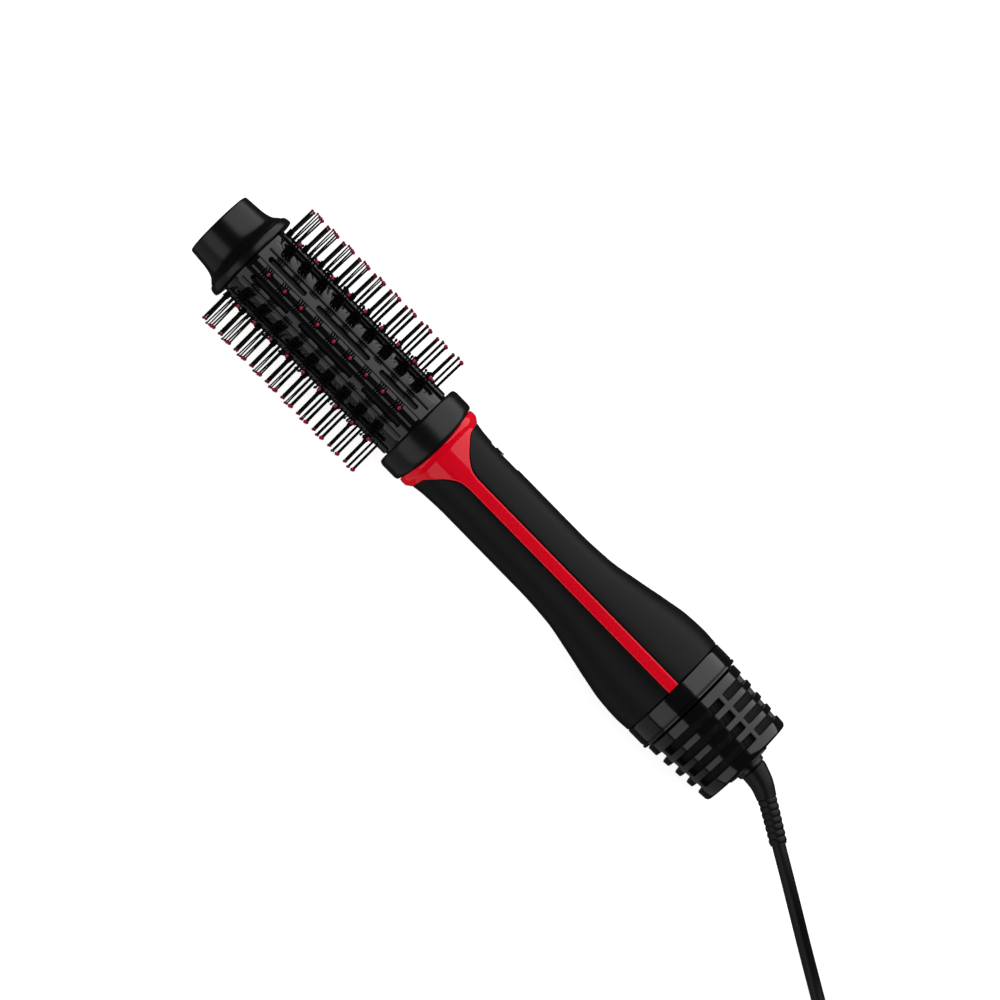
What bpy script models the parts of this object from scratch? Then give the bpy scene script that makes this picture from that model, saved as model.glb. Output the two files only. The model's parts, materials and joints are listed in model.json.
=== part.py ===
"""Hot-air styling brush, lying on its side on the plane z = 0.

Every piece but the loose cord is drawn in the brush's own frame, in millimetres: x runs along the axis
from the cool tip's end face to the tail, and an angle round the axis is measured from the side with the
stripe (+Z) towards the front with the switch (+Y). The empty "brush_axis" then lays the brush down, so
that it rests on its last bristles and on the tail ring's lip. The cord's route is in world axes.
"""

import math

import bmesh
import bpy
from mathutils import Matrix, Vector

MM = 0.001
GAP = 0.3  # between pieces that touch

# Head
TIP_FACE_R = 16.9
BARREL_X = (23.7, 139.0)
BARREL_R = 18.9
BARREL_WALL = 1.5
BARREL_FACETS = 46  # so that no edge between two facets runs along the middle of a slot
ROWS = 10
ROW_STEP = 36.0  # degrees between bristle rows
FANNED_STATIONS = (9, 35.2, 10.63)
# The pins of a station: how far beside it each one's tip and foot are, its radius, and how far out it
# reaches. The first has a ball.
FANNED_PINS = ((0.0, 0.0, 0.55, 35.0), (-2.0, -1.3, 0.5, 36.4), (-3.8, -2.6, 0.5, 36.4))
UPRIGHT_PINS = ((0.0, 0.0, 0.55, 38.1), (-2.5, -2.5, 0.5, 38.4), (-5.3, -5.3, 0.7, 37.7))
UPRIGHT_ROWS = (2, 3, 7, 8)
UPRIGHT_STATIONS = (10, 32.3, 10.28)  # how many, the first one's place and the pitch
BALL_R = 0.95
PIN_TAPER = 0.7
STRIP_X = (26.0, 129.8)
STRIP_HALF_WIDTH = 2.8
STRIP_R = (19.2, 20.0)
SLOT_WIDTH = 2.5
AIR_GUIDE_X = (31.0, 117.6)
AIR_GUIDE_R = 16.8
AIR_GUIDE_WALL = 0.8
AIR_GUIDE_FACETS = 30
AIR_WINDOW_X = (34.0, 110.0)
AIR_WINDOWS = (0, 36, 144, 180, 216, 324)  # their angles, each one under a bristle row
SLOT_RUNS = ((29.2, 52.7), (60.5, 94.2), (101.8, 125.7))
HEATER_SLEEVE_X = (98, 152)
HEATER_SLEEVE_R = (12.6, 12.0)  # outside and inside
MICA_CROSS_X = (100.0, 150.0)
MICA_CROSS_HALF = (9.6, 0.4)  # half its width and half its sheets' thickness
WIRE_X = (103, 147)
WIRE_TURNS = 6
WIRE_WOUND_R = 10.8
WIRE_R = 0.4
COLLAR_X = (130.9, 144.4)
COLLAR_R = 24.0
COLLAR_BORE_R = 19.3
NECK_SLEEVE_X = (118, 156)
NECK_SLEEVE_R = (17.0, 15.2)  # outside and inside
EDGE_BOW = 1.5  # how far the collar's rear edge bows towards the tail at the two stripes

# Handle
HANDLE_OUTLINE = (
    (149.4, 20.9), (156.0, 20.0), (170.0, 19.4), (219.0, 19.4), (237.0, 20.3), (253.0, 23.05),
    (270.0, 26.5), (281.0, 28.35), (292.0, 28.95), (299.8, 28.5),
)
SHELL_X = (149.9, 299.8)
SHELL_WALL = 3.0
TRIM_DEPTH = 1.6
TRIM_X = (144.7, 299.7)
TRIM_RING_END_X = 149.4
TRIM_PROUD = 0.2
# Half the angle that each side of the trim covers, from the ring to where the stripe is straight.
TRIM_FLARE = ((149.4, 90.0), (151.0, 51.0), (154.7, 35.0), (159.3, 20.6), (165.0, 10.9), (170.0, 9.0))
STRIPE_HALF_WIDTH = 3.1

# Switch
SWITCH_X = (160.7, 178.6)
SWITCH_HALF_WIDTH = 4.2
SWITCH_FLOOR_Y = 18.75
THUMB_X = (163.9, 169.0)
THUMB_TRAVEL = 8.4

# Fan
MOTOR_X = (236.0, 262.0)
MOTOR_R = 12.0
SHAFT_R = 1.5
IMPELLER_X = (268.0, 281.0)
IMPELLER_R = 20.6
BLADES = 9
SHROUD_X = (264, 285)
SHROUD_R = (22.0, 21.0)  # outside and inside

# Tail
TAIL_RING_X = (300.1, 311.4)
TAIL_RING_BORE_R = 25.0
GRILLE_X = (312.3, 348.8)
GRILLE_RIBS = ((312.3, 317.4), (321.5, 324.8), (328.9, 332.0), (335.8, 339.1), (343.0, 347.6))
GRILLE_OUTER = ((312.3, 27.5), (317.4, 27.5), (343.0, 25.5), (347.6, 25.2), (348.8, 24.4))
GRILLE_INNER = ((312.3, 24.9), (348.8, 23.0))
GRILLE_BARS = (28, 108, 180, 240, 300)  # their angles
GRILLE_BAR_WIDTH = 2.4
GRILLE_BAR_R = 26.5
BETWEEN_BARS = 6  # facets of a ring between two bars
SWIVEL_X = 353.2
JOURNAL_R = 4.5

# Cord, and where it lies
CORD_R = 3.25
CORD_LIFT = 0.2  # keeps the tube's corners off the floor
COIL_TURN_R = 35.75
COIL_HALF_WIDTH = 10.4
COIL_HEIGHT = 19.6
RELIEF_ROUTE = ((354.0, 0.0), (360.0, -1.4), (367.2, -4.7), (377.0, -10.2), (386.4, -15.8))
RELIEF_RIB_PITCH = 2.7
STEM_R = (6.6, 4.7)
STEM_END_X = 367.2
RIB_R = (4.6, 4.2)  # over the ribs and between them, where the sleeve starts
RIB_TAPER = 0.35  # how much less both are at the cord's end
COIL_CENTRE = (347.1, -53.5)
COIL_BOTTOM = 1.3
TIE_WIDTH = 8.0
TIE_WALL = 1.0
PLUG_SECTIONS = ((0.3, 5.0, 4.6), (9.0, 9.0, 5.6), (14.0, 17.0, 6.8), (34.0, 17.6, 6.8), (35.5, 16.6, 6.0))
PLUG_THICKNESS = 13.7
PLUG_PIN_LENGTH = 19.0
PLUG_PIN_SPACING = 18.6
PLUG_PIN_R = 2.0

# The brush rests on the last pins of its lowest row and on the lip of its tail ring.
LAST_PIN_X = FANNED_STATIONS[1] + FANNED_STATIONS[2] * (FANNED_STATIONS[0] - 1) + FANNED_PINS[1][0]
TAIL_REST = (311.0, 28.9)  # the outer edge of the lip
TILT = math.atan2(FANNED_PINS[1][3] - TAIL_REST[1], TAIL_REST[0] - LAST_PIN_X)
AXIS_HEIGHT = TAIL_REST[1] * math.cos(TILT) + TAIL_REST[0] * math.sin(TILT)
BODY_MIDDLE_X = 176.1  # the middle of the brush's own length, as laid down

BLACK_MATTE = ((0.012, 0.012, 0.013), 0.5, 0.0)
BLACK_GLOSS = ((0.015, 0.015, 0.016), 0.12, 0.0)
RED_GLOSS = ((0.62, 0.002, 0.012), 0.15, 0.0)
STEEL = ((0.55, 0.55, 0.56), 0.3, 1.0)
BRASS = ((0.75, 0.55, 0.22), 0.3, 1.0)
MICA = ((0.42, 0.36, 0.25), 0.6, 0.0)
BOARD_GREEN = ((0.02, 0.13, 0.05), 0.5, 0.0)
GREY_PLASTIC = ((0.20, 0.20, 0.21), 0.5, 0.0)


def at(x, r, degrees):
    """A point in metres, from its place along the axis, its radius and its angle from the stripe."""
    a = math.radians(degrees)
    return Vector((x, r * math.sin(a), r * math.cos(a))) * MM


def smooth(points, x):
    """The height at x of a smooth curve through points that neither overshoots nor wiggles."""
    if x <= points[0][0]:
        return points[0][1]
    if x >= points[-1][0]:
        return points[-1][1]
    slopes = [(b[1] - a[1]) / (b[0] - a[0]) for a, b in zip(points, points[1:])]
    i = next(k for k in range(len(slopes)) if x <= points[k + 1][0])

    def tangent(k):
        if k == 0 or k == len(slopes):
            return slopes[min(k, len(slopes) - 1)]
        before, after = slopes[k - 1], slopes[k]
        return 0.0 if before * after <= 0 else 2 * before * after / (before + after)

    (x0, y0), (x1, y1) = points[i], points[i + 1]
    h = x1 - x0
    t = (x - x0) / h
    rise = (1 + 2 * t) * (1 - t) ** 2 * y0 + t * t * (3 - 2 * t) * y1
    return rise + h * (t * (1 - t) ** 2 * tangent(i) - t * t * (1 - t) * tangent(i + 1))


def straight(points, x):
    """The height at x of the straight stretches through points."""
    if x <= points[0][0]:
        return points[0][1]
    for (x0, y0), (x1, y1) in zip(points, points[1:]):
        if x <= x1:
            return y0 + (y1 - y0) * (x - x0) / (x1 - x0)
    return points[-1][1]


def spread(low, high, steps):
    return [low + (high - low) * k / steps for k in range(steps + 1)]


def clear_scene():
    for item in list(bpy.data.objects):
        bpy.data.objects.remove(item, do_unlink=True)


def lay_down():
    """The empty on the brush's axis, tail low, that carries every piece of the brush."""
    axis = bpy.data.objects.new("brush_axis", None)
    axis.location = (-BODY_MIDDLE_X * MM, 0, AXIS_HEIGHT * MM)
    axis.rotation_euler = (0, TILT, 0)
    bpy.context.scene.collection.objects.link(axis)
    return axis


def material(name, look):
    colour, roughness, metallic = look
    made = bpy.data.materials.new(name)
    made.use_nodes = True
    shader = made.node_tree.nodes["Principled BSDF"]
    shader.inputs["Base Color"].default_value = (*colour, 1)
    shader.inputs["Roughness"].default_value = roughness
    shader.inputs["Metallic"].default_value = metallic
    made.diffuse_color = (*colour, 1)
    return made


def piece(name, mesh, look, parent=None, turn=0.0, cutter=False):
    """An object of that mesh; turn is its angle round the brush's axis, in degrees."""
    made = bpy.data.objects.new(name, mesh)
    bpy.context.scene.collection.objects.link(made)
    made.parent = parent
    made.rotation_euler = (-math.radians(turn), 0, 0)
    if cutter:
        made.hide_render = True
        made.display_type = "WIRE"
    elif not mesh.materials:
        mesh.materials.append(material(name, look))
    else:
        made.material_slots[0].link = "OBJECT"
        made.material_slots[0].material = material(name, look)
    return made


def finished(name, bm, sharp=35.0):
    """The mesh of a closed bmesh, its faces pointing out and its round faces shaded smooth."""
    bmesh.ops.remove_doubles(bm, verts=bm.verts, dist=1e-7)
    bmesh.ops.recalc_face_normals(bm, faces=bm.faces)
    mesh = bpy.data.meshes.new(name)
    bm.to_mesh(mesh)
    bm.free()
    mesh.shade_smooth()
    mesh.set_sharp_from_angle(angle=math.radians(sharp))
    return mesh


def turned_mesh(name, profile, segments=40, bow=None):
    """Turns a closed profile of (x, r) points round the axis; bow moves a point along x by its angle."""
    bm = bmesh.new()
    ring = [bm.verts.new(at(x, r, 0)) for x, r in profile]
    for a, b in zip(ring, ring[1:] + ring[:1]):
        if a.co.z > 0 or b.co.z > 0:
            bm.edges.new((a, b))
    geometry = bm.verts[:] + bm.edges[:]
    bmesh.ops.spin(
        bm, geom=geometry, cent=(0, 0, 0), axis=(1, 0, 0), angle=2 * math.pi, steps=segments, use_merge=True
    )
    bmesh.ops.remove_doubles(bm, verts=bm.verts, dist=1e-7)
    if bow:
        for v in bm.verts:
            v.co.x += bow(v.co.x / MM, math.atan2(v.co.y, v.co.z)) * MM
    return finished(name, bm)


def turned(name, profile, look, parent, segments=40, bow=None):
    return piece(name, turned_mesh(name, profile, segments, bow), look, parent)


def tube_profile(x, outer, inner):
    return [(x[0], inner), (x[0], outer), (x[1], outer), (x[1], inner)]


def block_mesh(name, low, high):
    bm = bmesh.new()
    size = Vector(high) - Vector(low)
    middle = (Vector(high) + Vector(low)) / 2
    place = Matrix.Translation(middle * MM) @ Matrix.Diagonal((*(size * MM), 1))
    bmesh.ops.create_cube(bm, size=1, matrix=place)
    return finished(name, bm)


def block(name, low, high, look, parent):
    return piece(name, block_mesh(name, low, high), look, parent)


def lofted_mesh(name, sections):
    """Joins closed rings of the same number of points, and caps the first and the last."""
    bm = bmesh.new()
    rings = [[bm.verts.new(p) for p in section] for section in sections]
    for a, b in zip(rings, rings[1:]):
        for k in range(len(a)):
            n = (k + 1) % len(a)
            bm.faces.new((a[k], a[n], b[n], b[k]))
    bm.faces.new(rings[0])
    bm.faces.new(rings[-1])
    return finished(name, bm)


def starred(name, xs, outer, inner_r, twist, look, parent, steps):
    """A ring round the axis whose outer radius changes with its angle, such as vanes or blades."""
    bm = bmesh.new()
    rings = []
    for x in xs:
        turn = twist * (x - xs[0])
        angles = [360 * k / steps for k in range(steps)]
        rings.append((
            [bm.verts.new(at(x, outer(a), a + turn)) for a in angles],
            [bm.verts.new(at(x, inner_r, a + turn)) for a in angles],
        ))
    for (out0, in0), (out1, in1) in zip(rings, rings[1:]):
        for k in range(steps):
            n = (k + 1) % steps
            bm.faces.new((out0[k], out0[n], out1[n], out1[k]))
            bm.faces.new((in0[k], in0[n], in1[n], in1[k]))
    for out, inner in (rings[0], rings[-1]):
        for k in range(steps):
            n = (k + 1) % steps
            bm.faces.new((out[k], out[n], inner[n], inner[k]))
    return piece(name, finished(name, bm), look, parent)


def boolean(target, tool, operation):
    change = target.modifiers.new(operation.lower(), "BOOLEAN")
    change.operation = operation
    change.object = tool
    change.solver = "EXACT"
    return target


# Head


def cool_tip(parent):
    profile = [
        (0, 0), (0, TIP_FACE_R), (0.8, 17.7), (10, 18.4), (12.7, 18.9), (15.4, 19.8), (18.2, 22.1),
        (20.6, 23.8), (21.7, 24.2), (23.0, 24.2), (23.4, 23.8), (23.4, 16.9), (2.6, 15.0), (2.6, 4.2),
        (24.2, 4.2), (24.2, 1.9), (9, 1.9), (9, 0),
    ]
    turned("cool_tip", profile, BLACK_MATTE, parent, segments=36)


def tip_fixing(parent):
    turned("tip_plate", tube_profile((24.5, 27.5), 17.1, 1.9), GREY_PLASTIC, parent, segments=24)
    screw = [(12, 0), (12, 1.6), (27.8, 1.6), (27.8, 3.4), (30.3, 3.4), (30.3, 0)]
    turned("tip_screw", screw, STEEL, parent, segments=12)


def slot_cutters(parent, name, angles, runs, levels):
    """Long slots with round ends, a line of them at each angle, cut between the two levels."""
    bm = bmesh.new()
    half = SLOT_WIDTH / 2
    for angle in angles:
        turn = Matrix.Rotation(-math.radians(angle), 4, "X")
        for low, high in runs:
            outline = []
            for centre, start in ((high - half, -90), (low + half, 90)):
                for k in range(5):
                    a = math.radians(start + 45 * k)
                    outline.append((centre + half * math.cos(a), half * math.sin(a)))
            bottom, top = (
                [bm.verts.new(turn @ (Vector((x, y, r)) * MM)) for x, y in outline] for r in levels
            )
            for k in range(len(outline)):
                n = (k + 1) % len(outline)
                bm.faces.new((bottom[k], bottom[n], top[n], top[k]))
            bm.faces.new(bottom)
            bm.faces.new(top)
    return piece(name, finished(name, bm), None, parent, cutter=True)


def barrel(parent):
    profile = tube_profile(BARREL_X, BARREL_R, BARREL_R - BARREL_WALL)
    made = turned("barrel", profile, BLACK_GLOSS, parent, segments=BARREL_FACETS)
    angles = [ROW_STEP * (row + 0.5) for row in range(ROWS)]  # midway between the bristle rows
    levels = (BARREL_R - BARREL_WALL - 0.5, BARREL_R + 2.0)
    boolean(made, slot_cutters(parent, "barrel_slots", angles, SLOT_RUNS, levels), "DIFFERENCE")


def air_guide(parent):
    """A thin liner inside the barrel. It is closed behind the barrel's slots and open under the rows."""
    guide = tube_profile(AIR_GUIDE_X, AIR_GUIDE_R, AIR_GUIDE_R - AIR_GUIDE_WALL)
    made = turned("air_guide", guide, BLACK_MATTE, parent, segments=AIR_GUIDE_FACETS)
    made.rotation_euler.x = math.pi / AIR_GUIDE_FACETS  # puts each window in the middle of a facet
    levels = (AIR_GUIDE_R - AIR_GUIDE_WALL - 1.0, AIR_GUIDE_R + 1.0)
    windows = slot_cutters(parent, "guide_windows", AIR_WINDOWS, (AIR_WINDOW_X,), levels)
    boolean(made, windows, "DIFFERENCE")


def pins_mesh(pins, count, first_x, pitch):
    """The pins of one row, three-sided; they start inside the strip that carries them."""
    bm = bmesh.new()
    foot = STRIP_R[1] - 0.4
    for station in range(count):
        x = first_x + pitch * station
        for tip_offset, foot_offset, radius, tip in pins:
            ball = (tip_offset, foot_offset, radius, tip) == pins[0]
            levels = [(foot, radius), (tip, radius * PIN_TAPER)]
            if ball:
                levels[1:] = [(tip - 1.6, radius * PIN_TAPER), (tip - 0.8, BALL_R)]
            rings = []
            for r, level_r in levels:
                reached = (r - foot) / (tip - foot)
                middle = x + foot_offset + (tip_offset - foot_offset) * reached
                corners = [math.radians(120 * k) for k in range(3)]
                rings.append([
                    bm.verts.new(Vector((middle + level_r * math.cos(a), level_r * math.sin(a), r)) * MM)
                    for a in corners
                ])
            for a, b in zip(rings, rings[1:]):
                for k in range(3):
                    bm.faces.new((a[k], a[(k + 1) % 3], b[(k + 1) % 3], b[k]))
            bm.faces.new(rings[0])
            if ball:
                top = bm.verts.new(Vector((x + tip_offset, 0, tip)) * MM)
                for k in range(3):
                    bm.faces.new((rings[-1][k], rings[-1][(k + 1) % 3], top))
            else:
                bm.faces.new(rings[-1])
    return finished("pins", bm)


def row_mesh(name, pins, count, first_x, pitch):
    """A strip and its pins as one closed mesh."""
    low = (STRIP_X[0], -STRIP_HALF_WIDTH, STRIP_R[0])
    high = (STRIP_X[1], STRIP_HALF_WIDTH, STRIP_R[1])
    strip = piece("strip", block_mesh("strip", low, high), None, None, cutter=True)
    pin_set = piece("pins", pins_mesh(pins, count, first_x, pitch), None, None, cutter=True)
    boolean(strip, pin_set, "UNION")
    bpy.context.view_layer.update()
    joined = strip.evaluated_get(bpy.context.evaluated_depsgraph_get())
    mesh = bpy.data.meshes.new_from_object(joined)
    mesh.name = name
    mesh.materials.clear()
    for helper in (strip, pin_set):
        bpy.data.objects.remove(helper, do_unlink=True)
    return mesh


def bristle_rows(parent):
    """Ten carriers on the barrel, each one piece with its pins, of two kinds."""
    fanned = row_mesh("fanned_row", FANNED_PINS, *FANNED_STATIONS)
    upright = row_mesh("upright_row", UPRIGHT_PINS, *UPRIGHT_STATIONS)
    for row in range(ROWS):
        mesh = upright if row in UPRIGHT_ROWS else fanned
        piece(f"bristle_row_{row + 1:02d}", mesh, BLACK_MATTE, parent, turn=ROW_STEP * row)


def heater(parent):
    sleeve = tube_profile(HEATER_SLEEVE_X, *HEATER_SLEEVE_R)
    turned("heater_sleeve", sleeve, MICA, parent, segments=24)
    half, thick = MICA_CROSS_HALF
    outline = [
        (half, thick), (thick, thick), (thick, half), (-thick, half), (-thick, thick), (-half, thick),
        (-half, -thick), (-thick, -thick), (-thick, -half), (thick, -half), (thick, -thick), (half, -thick),
    ]
    ends = [[Vector((x, y, z)) * MM for y, z in outline] for x in MICA_CROSS_X]
    piece("mica_cross", lofted_mesh("mica_cross", ends), MICA, parent)
    heater_coil(parent)
    turned("thermostat", [(94.0, 0), (94.0, 4.5), (99.0, 5.0), (99.0, 0)], STEEL, parent, segments=16)
    fuse = turned("thermal_fuse", [(104, 0), (104, 1.4), (114, 1.4), (114, 0)], GREY_PLASTIC, parent, 10)
    fuse.location = Vector((0, 4.6, 4.6)) * MM


def heater_coil(parent):
    """Resistance wire wound round the edges of the mica cross."""
    steps = 10  # to a turn
    points = []
    for k, x in enumerate(spread(*WIRE_X, WIRE_TURNS * steps)):
        points.append(at(x, WIRE_WOUND_R, 360 * k / steps))
    tube_curve("heater_coil", points, WIRE_R, STEEL, parent, sides=0)


def tube_curve(name, points, radius, look, parent, sides=2):
    """A round bar along points in metres, with filled ends."""
    curve = bpy.data.curves.new(name, "CURVE")
    curve.dimensions = "3D"
    curve.bevel_depth = radius * MM
    curve.bevel_resolution = sides
    curve.use_fill_caps = True
    curve.resolution_u = 1
    curve.render_resolution_u = 0
    spline = curve.splines.new("POLY")
    spline.points.add(len(points) - 1)
    for slot, p in zip(spline.points, points):
        slot.co = (*p, 1)
    made = bpy.data.objects.new(name, curve)
    bpy.context.scene.collection.objects.link(made)
    made.parent = parent
    curve.materials.append(material(name, look))
    return made


# Neck and handle


def bowed(x, angle):
    """The collar's rear edge and the trim's front edge run further back at the two stripes."""
    near_edge = max(0.0, 1 - abs(x - COLLAR_X[1]) / 2.5)
    return EDGE_BOW * math.cos(2 * angle) * near_edge


def neck(parent):
    profile = [
        (COLLAR_X[0], COLLAR_BORE_R), (COLLAR_X[0], 22.6), (131.5, 23.5), (133.0, COLLAR_R),
        (141.0, COLLAR_R), (143.2, 23.5), (COLLAR_X[1], 22.3), (COLLAR_X[1], COLLAR_BORE_R),
    ]
    turned("collar", profile, BLACK_MATTE, parent, segments=40, bow=bowed)
    sleeve = tube_profile(NECK_SLEEVE_X, *NECK_SLEEVE_R)
    turned("neck_sleeve", sleeve, GREY_PLASTIC, parent, segments=28)


def handle_r(x):
    return smooth(HANDLE_OUTLINE, x)


def trim_half_angle(x):
    """Half the angle that the trim covers at each stripe, in degrees."""
    stripe = math.degrees(math.asin(STRIPE_HALF_WIDTH / handle_r(x)))
    if x <= TRIM_RING_END_X:
        return 90.0
    if x < TRIM_FLARE[-1][0]:
        return max(stripe, smooth(TRIM_FLARE, x))
    return stripe


def trim_r(x):
    ring = ((144.7, 22.4), (145.3, 23.0), (147.0, 22.9), (148.4, 21.9), (149.4, 21.15), (152.0, 20.55))
    return straight(ring, x) if x < ring[-1][0] else handle_r(x) + TRIM_PROUD


def red_trim(parent):
    """One moulding: a ring behind the collar, and a tongue down each side that narrows to a stripe."""
    stations = [144.7, 145.3, 147.0, 148.4, 149.4, 149.9, 151, 152.7, 154.7, 157, 159.3, 162, 165, 170]
    stations += [219, 228] + spread(237, TRIM_X[1], 6)
    across = [-1, -0.86, -0.45, 0, 0.45, 0.86, 1]
    bm = bmesh.new()
    for side in (0, 180):
        skins = []
        for depth in (0.0, TRIM_DEPTH):
            rows = []
            for x in stations:
                half = trim_half_angle(x)
                row = []
                for t in across:
                    chamfer = TRIM_PROUD + 0.1 if abs(t) == 1 and half < 90 else 0.0
                    p = at(x, trim_r(x) - max(depth, chamfer), side + t * half)
                    shift = bowed(x - 0.3, math.radians(side + t * half))
                    row.append(bm.verts.new(p + Vector((shift * MM, 0, 0))))
                rows.append(row)
            skins.append(rows)
        outer, inner = skins
        for i in range(len(stations) - 1):
            for j in range(len(across) - 1):
                for skin in skins:
                    bm.faces.new((skin[i][j], skin[i][j + 1], skin[i + 1][j + 1], skin[i + 1][j]))
            if stations[i + 1] > TRIM_RING_END_X:
                for j in (0, len(across) - 1):
                    bm.faces.new((outer[i][j], outer[i + 1][j], inner[i + 1][j], inner[i][j]))
        for i in (0, len(stations) - 1):
            for j in range(len(across) - 1):
                bm.faces.new((outer[i][j], outer[i][j + 1], inner[i][j + 1], inner[i][j]))
    piece("red_trim", finished("red_trim", bm), RED_GLOSS, parent)


def shell_mesh(name, middle):
    """Half the handle, round from one stripe to the other, with a thin lip that runs under the stripes."""
    stations = [149.9, 151, 152.7, 154.7, 157, 159.3, 162, 165, 170, 195, 219, 228]
    stations += spread(237, SHELL_X[1], 7)
    sections = []
    lip_depth = TRIM_DEPTH + GAP
    for x in stations:
        r = handle_r(x)
        edge = trim_half_angle(x) + math.degrees(GAP / r)
        split = math.degrees(GAP / 2 / r)
        outer = spread(edge, 180 - edge, 12)
        inner = spread(180 - split, split, 12)
        lip = min(r - lip_depth, trim_r(x) - TRIM_DEPTH - GAP)
        ring = [(r, a) for a in outer]
        ring += [(lip, 180 - edge), (lip, 180 - split)]
        ring += [(r - SHELL_WALL, a) for a in inner]
        ring += [(lip, split), (lip, edge)]
        sections.append([at(x, radius, middle - 90 + a) for radius, a in ring])
    return lofted_mesh(name, sections)


def shells(parent):
    front = piece("front_shell", shell_mesh("front_shell", 90), BLACK_MATTE, parent)
    piece("rear_shell", shell_mesh("rear_shell", 270), BLACK_MATTE, parent)
    low = (SWITCH_X[0], 10, -SWITCH_HALF_WIDTH)
    high = (SWITCH_X[1], 25, SWITCH_HALF_WIDTH)
    window = piece("switch_window", block_mesh("switch_window", low, high), None, parent, cutter=True)
    boolean(front, window, "DIFFERENCE")


def switch(parent):
    """The recessed plate, the thumb piece that slides in it, and what it works."""
    inside = SWITCH_HALF_WIDTH - GAP
    low = (SWITCH_X[0] + GAP, 16.9, -inside)
    high = (SWITCH_X[1] - GAP, SWITCH_FLOOR_Y, inside)
    bezel = block("switch_bezel", low, high, BLACK_MATTE, parent)
    stem = ((THUMB_X[0] + 1.3), (THUMB_X[1] - 1.3))
    slot_low = (stem[0] - GAP, 15, -1.3)
    slot_high = (stem[1] + THUMB_TRAVEL + GAP, 20, 1.3)
    slot = piece("bezel_slot", block_mesh("bezel_slot", slot_low, slot_high), None, parent, cutter=True)
    boolean(bezel, slot, "DIFFERENCE")

    thumb_parent = bpy.data.objects.new("thumb_slide", None)
    bpy.context.scene.collection.objects.link(thumb_parent)
    thumb_parent.parent = parent
    thumb_parent.location = Vector((THUMB_X[0], 0, 0)) * MM
    length = THUMB_X[1] - THUMB_X[0]
    foot_y, top_y = SWITCH_FLOOR_Y + GAP, SWITCH_FLOOR_Y + 1.1
    side_view = [(0, foot_y), (0.5, top_y), (length - 0.5, top_y), (length, foot_y)]
    ends = [[Vector((x, y, z)) * MM for x, y in side_view] for z in (-3.2, 3.2)]
    thumb = piece("switch_thumb", lofted_mesh("switch_thumb", ends), BLACK_MATTE, thumb_parent)
    stem_low = (stem[0] - THUMB_X[0], 15.0, -1.0)
    stem_high = (stem[1] - THUMB_X[0], foot_y + 0.3, 1.0)
    stem_mesh = block_mesh("thumb_stem", stem_low, stem_high)
    boolean(thumb, piece("thumb_stem", stem_mesh, None, thumb_parent, cutter=True), "UNION")

    block("switch_body", (160, 11.4, -4.5), (180, 14.7, 4.5), GREY_PLASTIC, parent)
    block("control_board", (186, 12.0, -9.0), (222, 13.2, 9.0), BOARD_GREEN, parent)
    block("rectifier", (196, 7.0, -5.0), (208, 11.7, 5.0), GREY_PLASTIC, parent)


# Fan


def fan(parent):
    bore = SHAFT_R + GAP
    motor = [(MOTOR_X[0], bore), (MOTOR_X[0], 10.8), (238, MOTOR_R), (260.5, MOTOR_R), (MOTOR_X[1], 10.8),
             (MOTOR_X[1], bore)]
    turned("motor", motor, STEEL, parent, segments=28)

    def vanes(angle):
        return 17.0 if angle % 90 < 11 else 13.9

    starred("motor_holder", [240.0, 256.0], vanes, MOTOR_R + GAP + 0.1, 0.0, GREY_PLASTIC, parent, 36)
    turned("fan_shroud", tube_profile(SHROUD_X, *SHROUD_R), GREY_PLASTIC, parent, segments=36)

    rotor = bpy.data.objects.new("rotor_axis", None)
    bpy.context.scene.collection.objects.link(rotor)
    rotor.parent = parent
    shaft = [(230, 0), (230, SHAFT_R), (283, SHAFT_R), (283, 0)]
    turned("motor_shaft", shaft, STEEL, rotor, segments=12)

    def blades(angle):
        return IMPELLER_R if (angle % (360 / BLADES)) < 360 / (BLADES * 5) * 1.5 else 8.5

    xs = spread(IMPELLER_X[0], IMPELLER_X[1], 2)
    starred("impeller", xs, blades, bore, 2.6, GREY_PLASTIC, rotor, BLADES * 5)


# Tail


def tail_ring(parent):
    front, back = TAIL_RING_X
    profile = [
        (front, TAIL_RING_BORE_R), (front, 28.3), (300.5, 28.6), (309.6, 28.6),
        (310.2, TAIL_REST[1]), TAIL_REST, (back, 28.5), (back, TAIL_RING_BORE_R),
    ]
    turned("tail_ring", profile, BLACK_GLOSS, parent, segments=40)


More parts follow.
